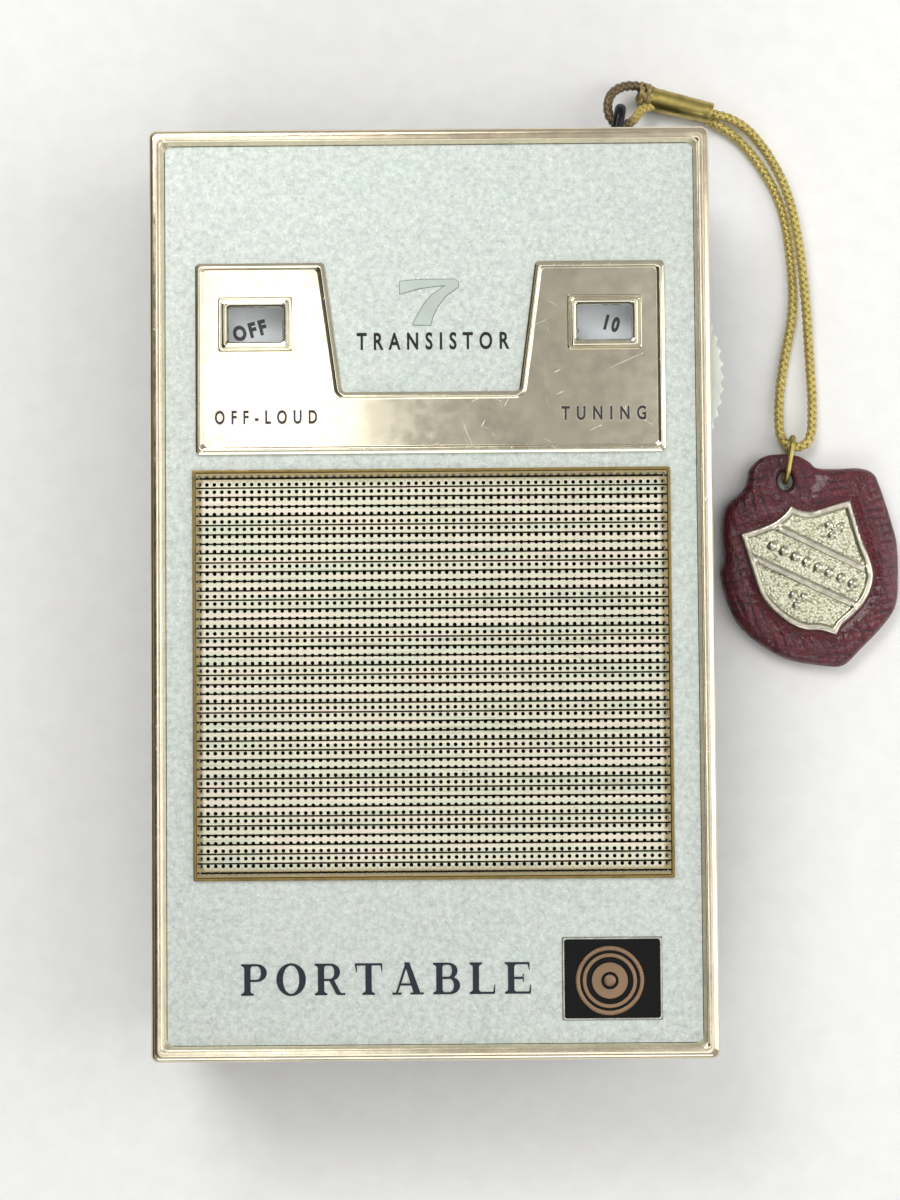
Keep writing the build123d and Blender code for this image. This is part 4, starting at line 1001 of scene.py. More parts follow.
def swage_ferrule(brass):
    """The sleeve that grips both ends of the cord: a waisted tube with a crimped lip at each end."""
    left, right = FERRULE_ENDS
    run = right - left
    axis = run.normalized()
    side = Vector((0, 0, 1)).cross(axis)
    length = run.length / MM
    # distance from the left end, share of the full radius
    wall = [(0.7, 0.80), (0.02, 0.84), (0.0, 0.93), (0.08, 0.985), (0.25, 1.0), (0.7, 1.0), (1.1, 0.975),
            (1.45, 0.998), (length / 2, 1.0), (length - 1.3, 1.0), (length - 1.0, 0.975),
            (length - 0.65, 1.0), (length - 0.2, 1.0), (length - 0.05, 0.97), (length, 0.92),
            (length - 0.02, 0.84), (length - 0.7, 0.80)]
    sections = []
    for distance, share in wall:
        progress = distance / length
        tall = (1.6 - 0.15 * progress) * share * MM
        wide = (1.5 - 0.2 * progress) * share * MM
        sections.append(hoop(left + axis * distance * MM, side * wide, Vector((0, 0, tall)), 48))
    builder = bmesh.new()
    tube(builder, sections, closed=True)
    ferrule = add_mesh_piece("ferrule_sleeve", close_up(builder), brass, 40.0)
    settle(ferrule, "back", "brass", "strap_ferrule")


def bend_ring(brass):
    """The long jump ring that stands on edge through the fob, with a nick where its wire was closed."""
    middle = Vector((44.15, 17.15, 1.85)) * MM
    heading = Vector((0.18, 0.984, 0)).normalized()
    ring_length, ring_width, wire = 6.3, 3.6, 0.35
    straight = (ring_length - ring_width) / 2 * MM
    bend = (ring_width / 2 - wire) * MM
    steps = 28
    line = []
    for half, turn in ((1, 0), (-1, math.pi)):
        for step in range(steps + 1):
            angle = turn + math.pi / 2 - math.pi * step / steps
            line.append(middle + heading * (half * straight + bend * math.cos(angle))
                        + Vector((0, 0, bend * math.sin(angle))))
    normal = heading.cross(Vector((0, 0, 1)))
    sections = []
    for index, point in enumerate(line):
        direction = (line[(index + 1) % len(line)] - line[index - 1]).normalized()
        thickness = wire * MM * (0.8 if index == steps // 3 else 1.0)
        sections.append(hoop(point, normal * thickness, direction.cross(normal) * thickness, 14))
    builder = bmesh.new()
    tube(builder, sections, closed=True)
    ring = add_mesh_piece("ring_wire", close_up(builder), brass, 40.0)
    settle(ring, "fob", "old_brass", "jump_ring")


class RADIO_OT_strap_fittings(bpy.types.Operator):
    """Make the swaged ferrule and the jump ring, and blacken the staple"""
    bl_idname = "radio.strap_fittings"
    bl_label = "Strap fittings"

    def execute(self, context):
        colours = context.scene.radio_colours
        swage_ferrule(old_brass("toned_brass", colours.brass, 0.3, -0.25))
        bend_ring(old_brass("dull_brass", colours.brass, 0.34))
        dress(enamel_finish("staple_enamel", display_colour(16, 17, 22)), "strap_staple")
        return {"FINISHED"}


FOB_OUTLINE = [(39.0, 14.8), (38.4, 13.4), (36.6, 11.8), (35.95, 10.3), (35.75, 7.7), (36.0, 5.1),
               (35.5, 3.1), (35.95, 0.65), (37.15, -2.5), (39.0, -4.7), (42.0, -6.8), (44.6, -7.85),
               (48.1, -8.4), (50.5, -8.4), (52.7, -6.4), (55.7, -3.3), (57.2, -0.8), (57.5, 2.9),
               (57.4, 6.6), (56.8, 9.2), (56.1, 11.6), (55.3, 14.0), (54.6, 15.4), (52.9, 16.05),
               (50.2, 16.0), (47.6, 16.1), (46.6, 16.9), (45.1, 17.65), (42.9, 17.85), (40.9, 17.5),
               (39.3, 16.1)]
SHIELD_OUTLINE = [(37.8, 7.9), (38.64, 5.2), (39.48, 2.4), (40.41, -0.03), (42.09, -1.9), (43.96, -3.29),
                  (45.82, -3.98), (47.7, -4.1), (49.55, -4.69), (50.2, -3.5), (51.7, -2.17), (53.1, -0.59),
                  (53.94, 1.28), (54.15, 2.96), (53.8, 4.63), (53.0, 6.87), (51.5, 12.0), (48.9, 11.25),
                  (46.76, 10.64), (45.3, 10.8), (44.14, 11.35), (43.3, 10.33), (42.0, 9.35), (40.2, 8.6)]
SHIELD_CORNERS = (0, 8, 16, 20)
RIDGES = (((42.3, 8.75), (53.4, 3.35)), ((39.3, 5.0), (52.2, -1.15)))
FOB_HOLE = (43.65, 14.5)


def smooth_step(values, low, high):
    share = np.clip((values - low) / (high - low), 0, 1)
    return share * share * (3 - 2 * share)


def distance_to_line(places, first, second):
    """Signed distance of each place from a line, positive to the left of its direction."""
    first, second = np.array(first) * MM, np.array(second) * MM
    run = (second - first) / np.linalg.norm(second - first)
    offset = places - first
    return run[0] * offset[:, 1] - run[1] * offset[:, 0]


def box_grain(places, pitch):
    """Depth of crossed creases in boarded leather, from 0 on a pebble to 1 in a crease."""
    depth = np.zeros(len(places))
    for family, (angle, share) in enumerate(((0.32, 1.0), (1.75, 0.92))):
        for index, (x, y) in enumerate(places):
            warp = noise.noise(Vector((x, y, family * 0.01)) / (3.2 * MM)) * 0.45
            fine = noise.noise(Vector((x, y, 0.02 + family * 0.01)) / (0.8 * MM)) * 0.16
            line = (x * math.cos(angle) + y * math.sin(angle)) / (pitch * share) + warp + fine
            gap = abs(line - round(line))
            strength = 0.55 + 0.9 * noise.noise(Vector((x, y, 0.05 + family)) / (1.7 * MM))
            crease = math.exp(-(gap / 0.12) ** 2) * min(1.0, max(0.25, strength))
            depth[index] = max(depth[index], crease)
    return depth


def cut_hide(sizes, colours, shield):
    """The leather of the fob: a bullnosed edge, a thin pierced tab and a bed pressed down for the shield."""
    outline = [point * MM for point in spans(FOB_OUTLINE)]
    hole_middle = Vector(FOB_HOLE) * MM
    hole = hoop(hole_middle, Vector((0.95, 0)) * MM, Vector((0, 1.15)) * MM, 24)
    top_z, mid_z, edge_radius = 2.8 * MM, 1.5 * MM, 1.2 * MM

    def measures(places):
        gap, _ = distance_to_outline(places, outline)
        hole_gap, _ = distance_to_outline(places, hole)
        shield_gap, under = distance_to_outline(places, shield)
        shield_gap = np.where(under, -shield_gap, shield_gap)
        thin = 1 - smooth_step(np.linalg.norm(places - np.array(hole_middle + Vector((0.4, 0.9)) * MM),
                                              axis=1),
                               3.0 * MM, 5.2 * MM)
        return gap, hole_gap, shield_gap, thin

    creases = {}

    def grain(places):
        key = len(places)
        if key not in creases:
            creases[key] = box_grain(places, sizes.grain_pitch)
        return creases[key]

    def bullnose(gap, radius):
        share = np.clip(gap / radius, 0.004, 1)
        return np.sqrt(1 - (1 - share) ** 2)

    def top(places):
        gap, hole_gap, shield_gap, thin = measures(places)
        swell = 0.22 * MM * smooth_step(gap, 0.6 * MM,
                                        2.2 * MM) * (1 - smooth_step(gap, 2.6 * MM, 5 * MM))
        height = mid_z + (top_z - mid_z) * bullnose(gap, edge_radius) + swell
        height -= 0.3 * MM * (1 - smooth_step(shield_gap, 0.15 * MM, 1.3 * MM))
        calm = smooth_step(shield_gap, 0.1 * MM,
                           1.0 * MM) * (0.5 + 0.5 * smooth_step(hole_gap, 0.3 * MM, 1.5 * MM))
        height -= sizes.grain_depth * grain(places) * calm
        tab = 1.85 * MM + (height - mid_z) * 0.46
        height = height * (1 - thin) + tab * thin
        return height - 0.55 * MM * (1 - bullnose(hole_gap, 0.9 * MM))

    def bottom(places):
        gap, hole_gap, _, thin = measures(places)
        height = mid_z - mid_z * bullnose(gap, 0.9 * MM) + 0.02 * MM
        tab = 1.80 * MM - 0.45 * MM * bullnose(gap, 0.6 * MM)
        height = height * (1 - thin) + tab * thin
        return height + 0.2 * MM * (1 - bullnose(hole_gap, 0.5 * MM))

    mesh = relief(outline, [hole], 0.21 * MM, (0.05 * MM, 0.14 * MM, 0.28 * MM, 0.48 * MM), top, bottom)
    flat = np.array([vert.co[:2] for vert in mesh.vertices])
    gap, hole_gap, shield_gap, _ = measures(flat)
    calm = smooth_step(shield_gap, 0.1 * MM, 1.0 * MM)
    # crease is 1 in the grain's creases and round the hole's edge; the leather finish paints shade there as
    # well as dulling it
    mark_vertices(mesh, "crease", np.maximum(box_grain(flat, sizes.grain_pitch) * calm,
                                             1 - smooth_step(hole_gap, 0.0, 0.5 * MM)))
    leather = add_mesh_piece("fob_hide", mesh, oxblood_leather(colours.leather), 80.0)
    settle(leather, "fob", "oxblood_leather", "fob_leather")


def cast_shield(colours, shield):
    """The shield: a raised rim, a sunk granular field, two ridges and plain studs."""
    base, rim_z, field_z = 2.55 * MM, 3.45 * MM, 3.12 * MM

    def field_depth(places):
        gap, _ = distance_to_outline(places, shield)
        return smooth_step(gap, 0.62 * MM, 0.95 * MM)

    def shield_top(places):
        gap, _ = distance_to_outline(places, shield)
        height = rim_z - 0.28 * MM * (1 - np.sqrt(np.clip(1 - (1 - gap / (0.3 * MM)) ** 2, 0,
                                                          1))) * (gap < 0.3 * MM)
        height -= (rim_z - field_z) * field_depth(places)
        groove = np.exp(-((gap - 0.98 * MM) / (0.16 * MM)) ** 2)
        height -= 0.06 * MM * groove
        ridge_gaps = [distance_to_line(places, *ridge) for ridge in RIDGES]
        inside = smooth_step(gap, 0.5 * MM, 0.9 * MM)
        for ridge_gap in ridge_gaps:
            half = 0.47 * MM
            round_top = np.sqrt(np.clip(1 - (ridge_gap / half) ** 2, 0, 1))
            height += 0.26 * MM * round_top * inside
            shadow = np.exp(-((ridge_gap + 0.52 * MM) / (0.14 * MM)) ** 2)
            height -= 0.09 * MM * shadow * inside
        for x, y, radius, lift in shield_studs():
            reach = np.hypot(places[:, 0] - x, places[:, 1] - y) / radius
            height += lift * np.sqrt(np.clip(1 - reach ** 2, 0, 1))
        grains = np.array([noise.noise(Vector((x, y, 0)) / (0.22 * MM)) for x, y in places])
        return height + 0.035 * MM * grains * inside

    def shield_bottom(places):
        return np.full(len(places), base)

    mesh = relief(shield, [], 0.15 * MM, (0.04 * MM, 0.12 * MM, 0.26 * MM), shield_top, shield_bottom)
    flat = np.array([vert.co[:2] for vert in mesh.vertices])
    sunk = field_depth(flat)
    for ridge in RIDGES:
        sunk *= smooth_step(np.abs(distance_to_line(flat, *ridge)), 0.35 * MM, 0.5 * MM)
    for x, y, radius, _ in shield_studs():
        sunk *= smooth_step(np.hypot(flat[:, 0] - x, flat[:, 1] - y), 0.6 * radius, 0.95 * radius)
    mark_vertices(mesh, "sunk", sunk)
    emblem = add_mesh_piece("fob_shield", mesh, stippled_gilt(colours.shield), 60.0)
    settle(emblem, "fob", "pewter_gilt", "fob_emblem")


class RADIO_OT_fob(bpy.types.Operator):
    """Shape the leather fob with its grain and set the shield on it"""
    bl_idname = "radio.fob"
    bl_label = "Fob"

    def execute(self, context):
        colours = context.scene.radio_colours
        shield = [point * MM for point in spans(SHIELD_OUTLINE, SHIELD_CORNERS)]
        cut_hide(context.scene.radio_strap, colours, shield)
        cast_shield(colours, shield)
        return {"FINISHED"}


class RADIO_OT_hang_fob(bpy.types.Operator):
    """Work out the points along the cord; no piece is moved"""
    bl_idname = "radio.hang_fob"
    bl_label = "Pieces on the strap"

    def execute(self, context):
        sizes = context.scene.radio_strap
        points, along = strap_line(sizes)
        return {"FINISHED"}


def shield_studs():
    """Plain raised studs: a row along the band, and a small trefoil in each corner field."""
    studs = []
    first = (Vector(RIDGES[0][0]) + Vector(RIDGES[1][0])) / 2
    last = (Vector(RIDGES[0][1]) + Vector(RIDGES[1][1])) / 2
    count = 8
    for index in range(count):
        place = first.lerp(last, (index + 0.75) / (count + 0.6)) * MM
        studs.append((place.x, place.y, 0.62 * MM, 0.36 * MM))
    for x, y in ((49.4, 8.4), (44.9, -0.2)):
        for step in range(3):
            angle = 2 * math.pi * step / 3 + 0.3
            studs.append(((x + 0.75 * math.cos(angle)) * MM, (y + 0.75 * math.sin(angle)) * MM, 0.55 * MM,
                          0.32 * MM))
        studs.append((x * MM, y * MM, 0.3 * MM, 0.3 * MM))
    return studs


# ------------------------------------------------------------------ face

class RADIO_OT_bezel(bpy.types.Operator):
    """Run the polished moulding round the face"""
    bl_idname = "radio.bezel"
    bl_label = "Bezel"

    def execute(self, context):
        low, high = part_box("bezel_frame")
        middle = middle_of(low, high)
        corners = rectangle(middle, high.x - low.x, high.y - low.y)
        front = high.z / MM
        skirt = low.z / MM
        crown = [(0.7 - 0.7 * math.cos(angle), front - 0.7 + 0.7 * math.sin(angle), 0.9 - 0.02 * step)
                 for step, angle in enumerate(math.pi / 2 * part / 7 for part in range(8))]
        rows = [(0.06, skirt, 0.8), (0.0, skirt + 0.1, 0.85), *crown,
                (1.0, front + 0.01, 0.7), (1.24, front - 0.03, 0.75), (1.30, front - 0.09, 0.8),
                (1.36, front - 0.09, 0.85), (1.44, front - 0.12, 0.9), (1.70, front - 0.62, 0.95),
                (1.80, front - 0.95, 0.9), (1.80, front - 2.0, 0.9), (0.85, front - 2.0, 1.2),
                (0.85, skirt, 1.2)]
        builder = bmesh.new()
        mould(builder, corners, in_metres(rows),
              closed=True, steps=10)
        gilt = gilt_finish("polished_gilt", context.scene.radio_colours.gilt, 0.16, 0.35)
        bezel = add_mesh_piece("bezel_moulding", close_up(builder), gilt, 28.0)
        settle(bezel, "front", "gilt_bezel", "bezel_frame")
        return {"FINISHED"}


def arc(middle, wide, tall, start, end, steps=14):
    """Points on an ellipse between two angles in degrees."""
    return [(middle[0] + wide * math.cos(math.radians(start + (end - start) * step / steps)),
             middle[1] + tall * math.sin(math.radians(start + (end - start) * step / steps)))
            for step in range(steps + 1)]


def band(middle, outer, inner, start, end):
    """A curved stroke whose width changes from one ellipse to another."""
    return arc(middle, *outer, start, end) + arc(middle, *inner, end, start)


def serif_letter(letter):
    """Strokes of a Roman capital one unit high, with the letter's width."""
    stem, thin, foot, spread = 0.2, 0.07, 0.065, 0.1

    def upright(x, low=0.0, high=1.0, feet=(True, True)):
        strokes = [rectangle((x, (low + high) / 2), stem, high - low)]
        for at, wanted, inward in ((low, feet[0], 1), (high, feet[1], -1)):
            if wanted:
                near, far = sorted((at, at + inward * foot))
                strokes.append([(x - stem / 2 - spread, near), (x + stem / 2 + spread, near),
                                (x + stem / 2 + spread, far), (x - stem / 2 - spread, far)])
                for side in (-1, 1):
                    edge = x + side * stem / 2
                    bracket = [(edge - side * 0.01, at + inward * foot * 0.9),
                               (edge + side * 0.08, at + inward * foot * 0.9),
                               (edge + side * 0.02, at + inward * (foot + 0.03)),
                               (edge - side * 0.01, at + inward * (foot + 0.1))]
                    strokes.append(bracket if side * inward > 0 else bracket[::-1])
        return strokes

    def bar(x0, x1, y, height=thin):
        return rectangle(((x0 + x1) / 2, y), x1 - x0, height)

    def tick(x, y, tall, direction):
        """Pointed end of a horizontal arm."""
        return [(x - 0.035, y), (x + 0.035, y), (x + 0.035, y + direction * tall),
                (x + 0.015, y + direction * tall)][::direction]

    left = spread + stem / 2
    if letter == "P":
        return [*upright(left), bar(left, 0.5, 0.965), bar(left, 0.5, 0.47),
                band((0.5, 0.7175), (0.32, 0.2825), (0.13, 0.2125), -90, 90)], 0.84
    if letter == "O":
        return [band((0.47, 0.5), (0.47, 0.52), (0.26, 0.45), 0, 180),
                band((0.47, 0.5), (0.47, 0.52), (0.26, 0.45), 180, 360)], 0.94
    if letter == "R":
        leg = [(0.44, 0.5), (0.60, 0.5), (0.80, 0.12), (0.84, 0.065), (0.97, 0.065), (0.97, 0.0),
               (0.72, 0.0), (0.66, 0.06)]
        return [*upright(left), bar(left, 0.5, 0.965), bar(left, 0.52, 0.485),
                band((0.5, 0.725), (0.31, 0.275), (0.12, 0.205), -90, 90), leg[::-1]], 0.98
    if letter == "T":
        return [*upright(0.45, feet=(True, False)), bar(0.02, 0.88, 0.965), tick(0.045, 0.96, 0.24, -1),
                tick(0.855, 0.96, 0.24, -1)], 0.9
    if letter == "A":
        thin_leg = [(0.13, 0.04), (0.20, 0.04), (0.49, 0.90), (0.45, 1.02)]
        thick_leg = [(0.40, 1.02), (0.70, 0.04), (0.92, 0.04), (0.57, 1.02)]
        return [thin_leg, thick_leg, bar(0.24, 0.72, 0.32), bar(0.02, 0.32, 0.033, 0.065),
                bar(0.60, 1.02, 0.033, 0.065)], 1.04
    if letter == "B":
        return [*upright(left), bar(left, 0.5, 0.965), bar(left, 0.54, 0.52), bar(left, 0.54, 0.035),
                band((0.49, 0.7425), (0.29, 0.2575), (0.11, 0.1875), -90, 90),
                band((0.53, 0.2775), (0.33, 0.2775), (0.13, 0.2075), -90, 90)], 0.88
    if letter == "L":
        return [*upright(left), bar(left, 0.80, 0.035), tick(0.775, 0.04, 0.26, 1)], 0.84
    if letter == "E":
        return [*upright(left), bar(left, 0.78, 0.965), bar(left, 0.60, 0.5), bar(left, 0.82, 0.035),
                tick(0.755, 0.96, 0.22, -1), tick(0.795, 0.04, 0.25, 1), bar(0.565, 0.6, 0.5, 0.26)], 0.86
    raise ValueError(letter)


SEVEN_OUTLINE = [(-3.45, 35.95), (-1.2, 36.15), (2.9, 36.15), (3.35, 35.85), (3.3, 35.25), (2.95, 35.0),
                 (1.9, 34.3), (0.9, 33.0), (0.35, 31.9), (0.05, 30.85), (-1.95, 30.9), (-1.5, 31.9),
                 (-0.8, 33.1), (0.2, 34.3), (1.9, 35.5), (0.4, 35.35), (-1.2, 35.15), (-3.45, 34.5)]


class RADIO_OT_panel(bpy.types.Operator):
    """Paint the face and put its printed words and raised numeral on it"""
    bl_idname = "radio.panel"
    bl_label = "Face panel"

    def execute(self, context):
        colours = context.scene.radio_colours
        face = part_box("face_panel")[1].z
        paint = sparkle_paint(colours.panel)
        dress(paint, "face_panel")
        ink = printed_ink("black_ink", colours.ink)
        word = lettering("transistor_word", "TRANSISTOR", (0.35 * MM, 29.0 * MM), 17.7 * MM, 2.05 * MM,
                         face - 0.01 * MM, 0.05 * MM, ink, boldness=0.024, spacing=1.75)
        settle(word, "front", "sparkle_panel")

        numeral = [Vector(point) * MM for point in SEVEN_OUTLINE]
        for name, grow, base, thick, material in (
                ("seven_outline", 0.09 * MM, face - 0.01 * MM, 0.05 * MM,
                 printed_ink("grey_ink", display_colour(112, 120, 116))),
                ("seven_face", 0.0, face - 0.005 * MM, 0.09 * MM,
                 moulded_plastic("seven_paint", display_colour(186, 197, 189), 0.5))):
            shape = [tuple(point) for point in inset_corners(numeral[::-1], -grow)]
            piece = add_mesh_piece(name, flat_shapes([shape], base, thick), material)
            settle(piece, "front", "sparkle_panel")

        start, end, line, tall = -22.2 * MM, 11.1 * MM, -46.25 * MM, 3.6 * MM
        letters = [serif_letter(letter) for letter in "PORTABLE"]
        gap = ((end - start) / tall - sum(width for _, width in letters)) / (len(letters) - 1)
        shapes = []
        cursor = 0.0
        for strokes, width in letters:
            for stroke in strokes:
                shapes.append([(start + (x + cursor) * tall, line + y * tall) for x, y in stroke])
            cursor += width + gap
        mesh = flat_shapes(shapes, face - 0.01 * MM, 0.09 * MM)
        name_word = add_mesh_piece("name_word", mesh, printed_ink("navy_ink", colours.name_ink))
        settle(name_word, "front", "sparkle_panel")
        return {"FINISHED"}


class RADIO_OT_escutcheon(bpy.types.Operator):
    """Press the bright plate round the two dial windows and letter it"""
    bl_idname = "radio.escutcheon"
    bl_label = "Escutcheon"

    def execute(self, context):
        colours = context.scene.radio_colours
        low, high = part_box("dial_escutcheon")
        base, top = low.z / MM, high.z / MM
        left, right, bottom, shoulder = low.x, high.x, low.y, high.y
        notch_top, notch_floor, floor_half = 12.2 * MM, 23.1 * MM, 10.2 * MM
        corners = [(left, bottom), (right, bottom), (right, shoulder), (notch_top, shoulder),
                   (floor_half, notch_floor),
                   (-floor_half, notch_floor), (-notch_top, shoulder), (left, shoulder)]
        field = top - 0.36
        rim = [(0.0, base, 0.5), (0.0, base + 0.3, 0.5), (0.06, base + 0.46, 0.5), (0.2, base + 0.56, 0.5),
               (0.26, base + 0.60, 0.5), (0.34, top - 0.18, 0.5), (0.44, top - 0.1, 0.5),
               (0.62, top - 0.1, 0.5),
               (0.72, top - 0.14, 0.5), (0.82, top - 0.32, 0.5), (0.90, field, 0.5), (0.98, field, 0.5)]
        builder = bmesh.new()
        outer = mould(builder, corners, in_metres(rim), steps=8)
        window_loops = []
        for side in (-1, 1):
            window = rectangle((side * 20.2 * MM, 31.0 * MM), 8.6 * MM, 6.4 * MM)
            frame_rows = [(-0.08, field, 0.35), (0.0, field, 0.35), (0.06, field + 0.16, 0.35),
                          (0.16, field + 0.26, 0.35), (0.26, field + 0.26, 0.35), (0.32, field + 0.20, 0.35),
                          (0.38, field + 0.20, 0.35), (0.46, top - 0.04, 0.35), (0.58, top, 0.35),
                          (0.82, top, 0.35), (0.98, top - 0.06, 0.35),
                          (1.12, top - 0.3, 0.35), (1.2, top - 0.6, 0.35), (1.2, base, 0.35)]
            window_loops.append(mould(builder, window, in_metres(frame_rows), steps=5))
        fill_between(builder, outer[-1], *[loops[0] for loops in window_loops])
        fill_between(builder, outer[0], *[loops[-1] for loops in window_loops])
        bright = gilt_finish("bright_escutcheon", colours.escutcheon, 0.12, 1.0)
        plate = add_mesh_piece("escutcheon_plate", close_up(builder), bright, 25.0)
        settle(plate, "front", "brushed_gilt", "dial_escutcheon")

        ink = printed_ink("caption_ink", display_colour(40, 36, 44))
        halo = gilt_finish("caption_edge", colours.escutcheon, 0.2)
        for name, text, middle, width, tall in (
                ("volume_caption", "OFF-LOUD", (-19.0, 20.2), 11.8, 1.6),
                ("tuning_caption", "TUNING", (20.0, 20.4), 9.8, 1.65)):
            place = (middle[0] * MM, middle[1] * MM)
            edge = lettering(name + "_edge", text, place, (width + 0.2) * MM, (tall + 0.2) * MM,
                             (field - 0.01) * MM, 0.06 * MM, halo, boldness=0.045, spacing=1.9)
            letters = lettering(name, text, place, width * MM, tall * MM, (field - 0.01) * MM, 0.1 * MM, ink,
                                boldness=0.024, spacing=1.95)
            for piece in (edge, letters):
                settle(piece, "front", "brushed_gilt")
        dress(clear_plastic(), "tuning_lens", "volume_lens")
        return {"FINISHED"}


def grille_column(pitch, row_pitch, rows, diameter, reed_pitch, groove_width, groove_depth, middle_y, low,
                  high):
    """One column of holes in the reeded sheet, as wide as the hole pitch and as tall as the sheet."""
    bottom, top = middle_y - rows * row_pitch / 2, middle_y + rows * row_pitch / 2
    points = [Vector(corner) for corner in rectangle((0, middle_y), pitch, top - bottom)]
    regions = [[0, 1, 2, 3]]
    edges = []
    hole_corners = 8
    for row in range(rows):
        centre = bottom + (row + 0.5) * row_pitch
        regions.append(list(range(len(points), len(points) + hole_corners)))
        for corner in range(hole_corners):
            angle = 2 * math.pi * (corner + 0.5) / hole_corners
            points.append(Vector((diameter / 2 * math.cos(angle), centre + diameter / 2 * math.sin(angle))))
    grooves = np.arange(top - 0.55 * reed_pitch, bottom + groove_width, -reed_pitch)
    for groove in grooves:
        for level in (groove - groove_width / 2, groove, groove + groove_width / 2):
            edges.append((len(points), len(points) + 1))
            points += [Vector((-pitch / 2, level)), Vector((pitch / 2, level))]
    verts, _, faces, _, _, owners = delaunay_2d_cdt(points, edges, regions, 1, 1e-7)
    builder = bmesh.new()
    # this layer holds how deep each point lies in a groove, and 1 on the underside; the sheet's finish
    # paints shade from it
    painted_shade = builder.verts.layers.float.new("painted_shade")
    depths = [max(0.0, 1 - np.abs(grooves - vert.y).min() / (groove_width / 2)) for vert in verts]
    upper = [builder.verts.new((vert.x, vert.y, high - groove_depth * depth))
             for vert, depth in zip(verts, depths)]
    lower = [builder.verts.new((vert.x, vert.y, low)) for vert in verts]
    for vert, depth in zip(upper + lower, depths + [1.0] * len(lower)):
        vert[painted_shade] = depth
    for face, owner in zip(faces, owners):
        if owner == [0]:
            builder.faces.new([upper[i] for i in face])
            builder.faces.new([lower[i] for i in reversed(face)])
    builder.verts.index_update()
    twins = {vert: lower[index] for index, vert in enumerate(upper)}
    for edge in [edge for edge in builder.edges if edge.is_boundary and edge.verts[0] in twins]:
        first, second = edge.link_loops[0].vert, edge.link_loops[0].link_loop_next.vert
        shared = max(abs(abs(vert.co.x) - pitch / 2) for vert in (first, second)) <= 1e-7
        if not shared or first.co.y == second.co.y:
            builder.faces.new((second, first, twins[first], twins[second]))
    loose = [vert for vert in builder.verts if not vert.link_faces]
    bmesh.ops.delete(builder, geom=loose, context="VERTS")
    mesh = bpy.data.meshes.new("grille_column")
    builder.to_mesh(mesh)
    builder.free()
    return mesh


def row_of_copies_tree():
    """Geometry nodes: copies of one object side by side, joined into one skin."""
    tree = bpy.data.node_groups.new("row_of_copies", "GeometryNodeTree")
    sockets = {}
    for name, kind in (("Part", "NodeSocketObject"), ("Copies", "NodeSocketInt"),
                       ("Pitch", "NodeSocketFloat"),
                       ("Weld distance", "NodeSocketFloat"), ("Finish", "NodeSocketMaterial")):
        sockets[name] = tree.interface.new_socket(name=name, in_out="INPUT", socket_type=kind).identifier
    tree.interface.new_socket(name="Geometry", in_out="OUTPUT", socket_type="NodeSocketGeometry")
    source = node(tree, "NodeGroupInput").outputs
    gaps = maths(tree, "SUBTRACT", source["Copies"], 1.0)
    span = maths(tree, "MULTIPLY", gaps, source["Pitch"])
    first = maths(tree, "MULTIPLY", span, -0.5)
    start = node(tree, "ShaderNodeCombineXYZ", {0: first}).outputs[0]
    step = node(tree, "ShaderNodeCombineXYZ", {0: source["Pitch"]}).outputs[0]
    line = node(tree, "GeometryNodeMeshLine",
                {"Count": source["Copies"], "Start Location": start, "Offset": step})
    part = node(tree, "GeometryNodeObjectInfo", {"Object": source["Part"]})
    copies = node(tree, "GeometryNodeInstanceOnPoints",
                  {"Points": line.outputs[0], "Instance": part.outputs["Geometry"]})
    real = node(tree, "GeometryNodeRealizeInstances", {0: copies.outputs[0]})
    welded = node(tree, "GeometryNodeMergeByDistance",
                  {"Geometry": real.outputs[0], "Distance": source["Weld distance"]})
    finish = node(tree, "GeometryNodeSetMaterial",
                  {"Geometry": welded.outputs[0], "Material": source["Finish"]})
    result = node(tree, "NodeGroupOutput")
    tree.links.new(finish.outputs[0], result.inputs[0])
    return tree, sockets


def grown_mesh(tree, sockets, values):
    """The plain mesh that a geometry nodes tree makes with these inputs."""
    holder = bpy.data.objects.new("holder", bpy.data.meshes.new("holder"))
    bpy.context.scene.collection.objects.link(holder)
    modifier = holder.modifiers.new("nodes", "NODES")
    modifier.node_group = tree
    for name, value in values.items():
        modifier[sockets[name]] = value
    mesh = evaluated_mesh(holder)
    bpy.data.objects.remove(holder)
    return mesh


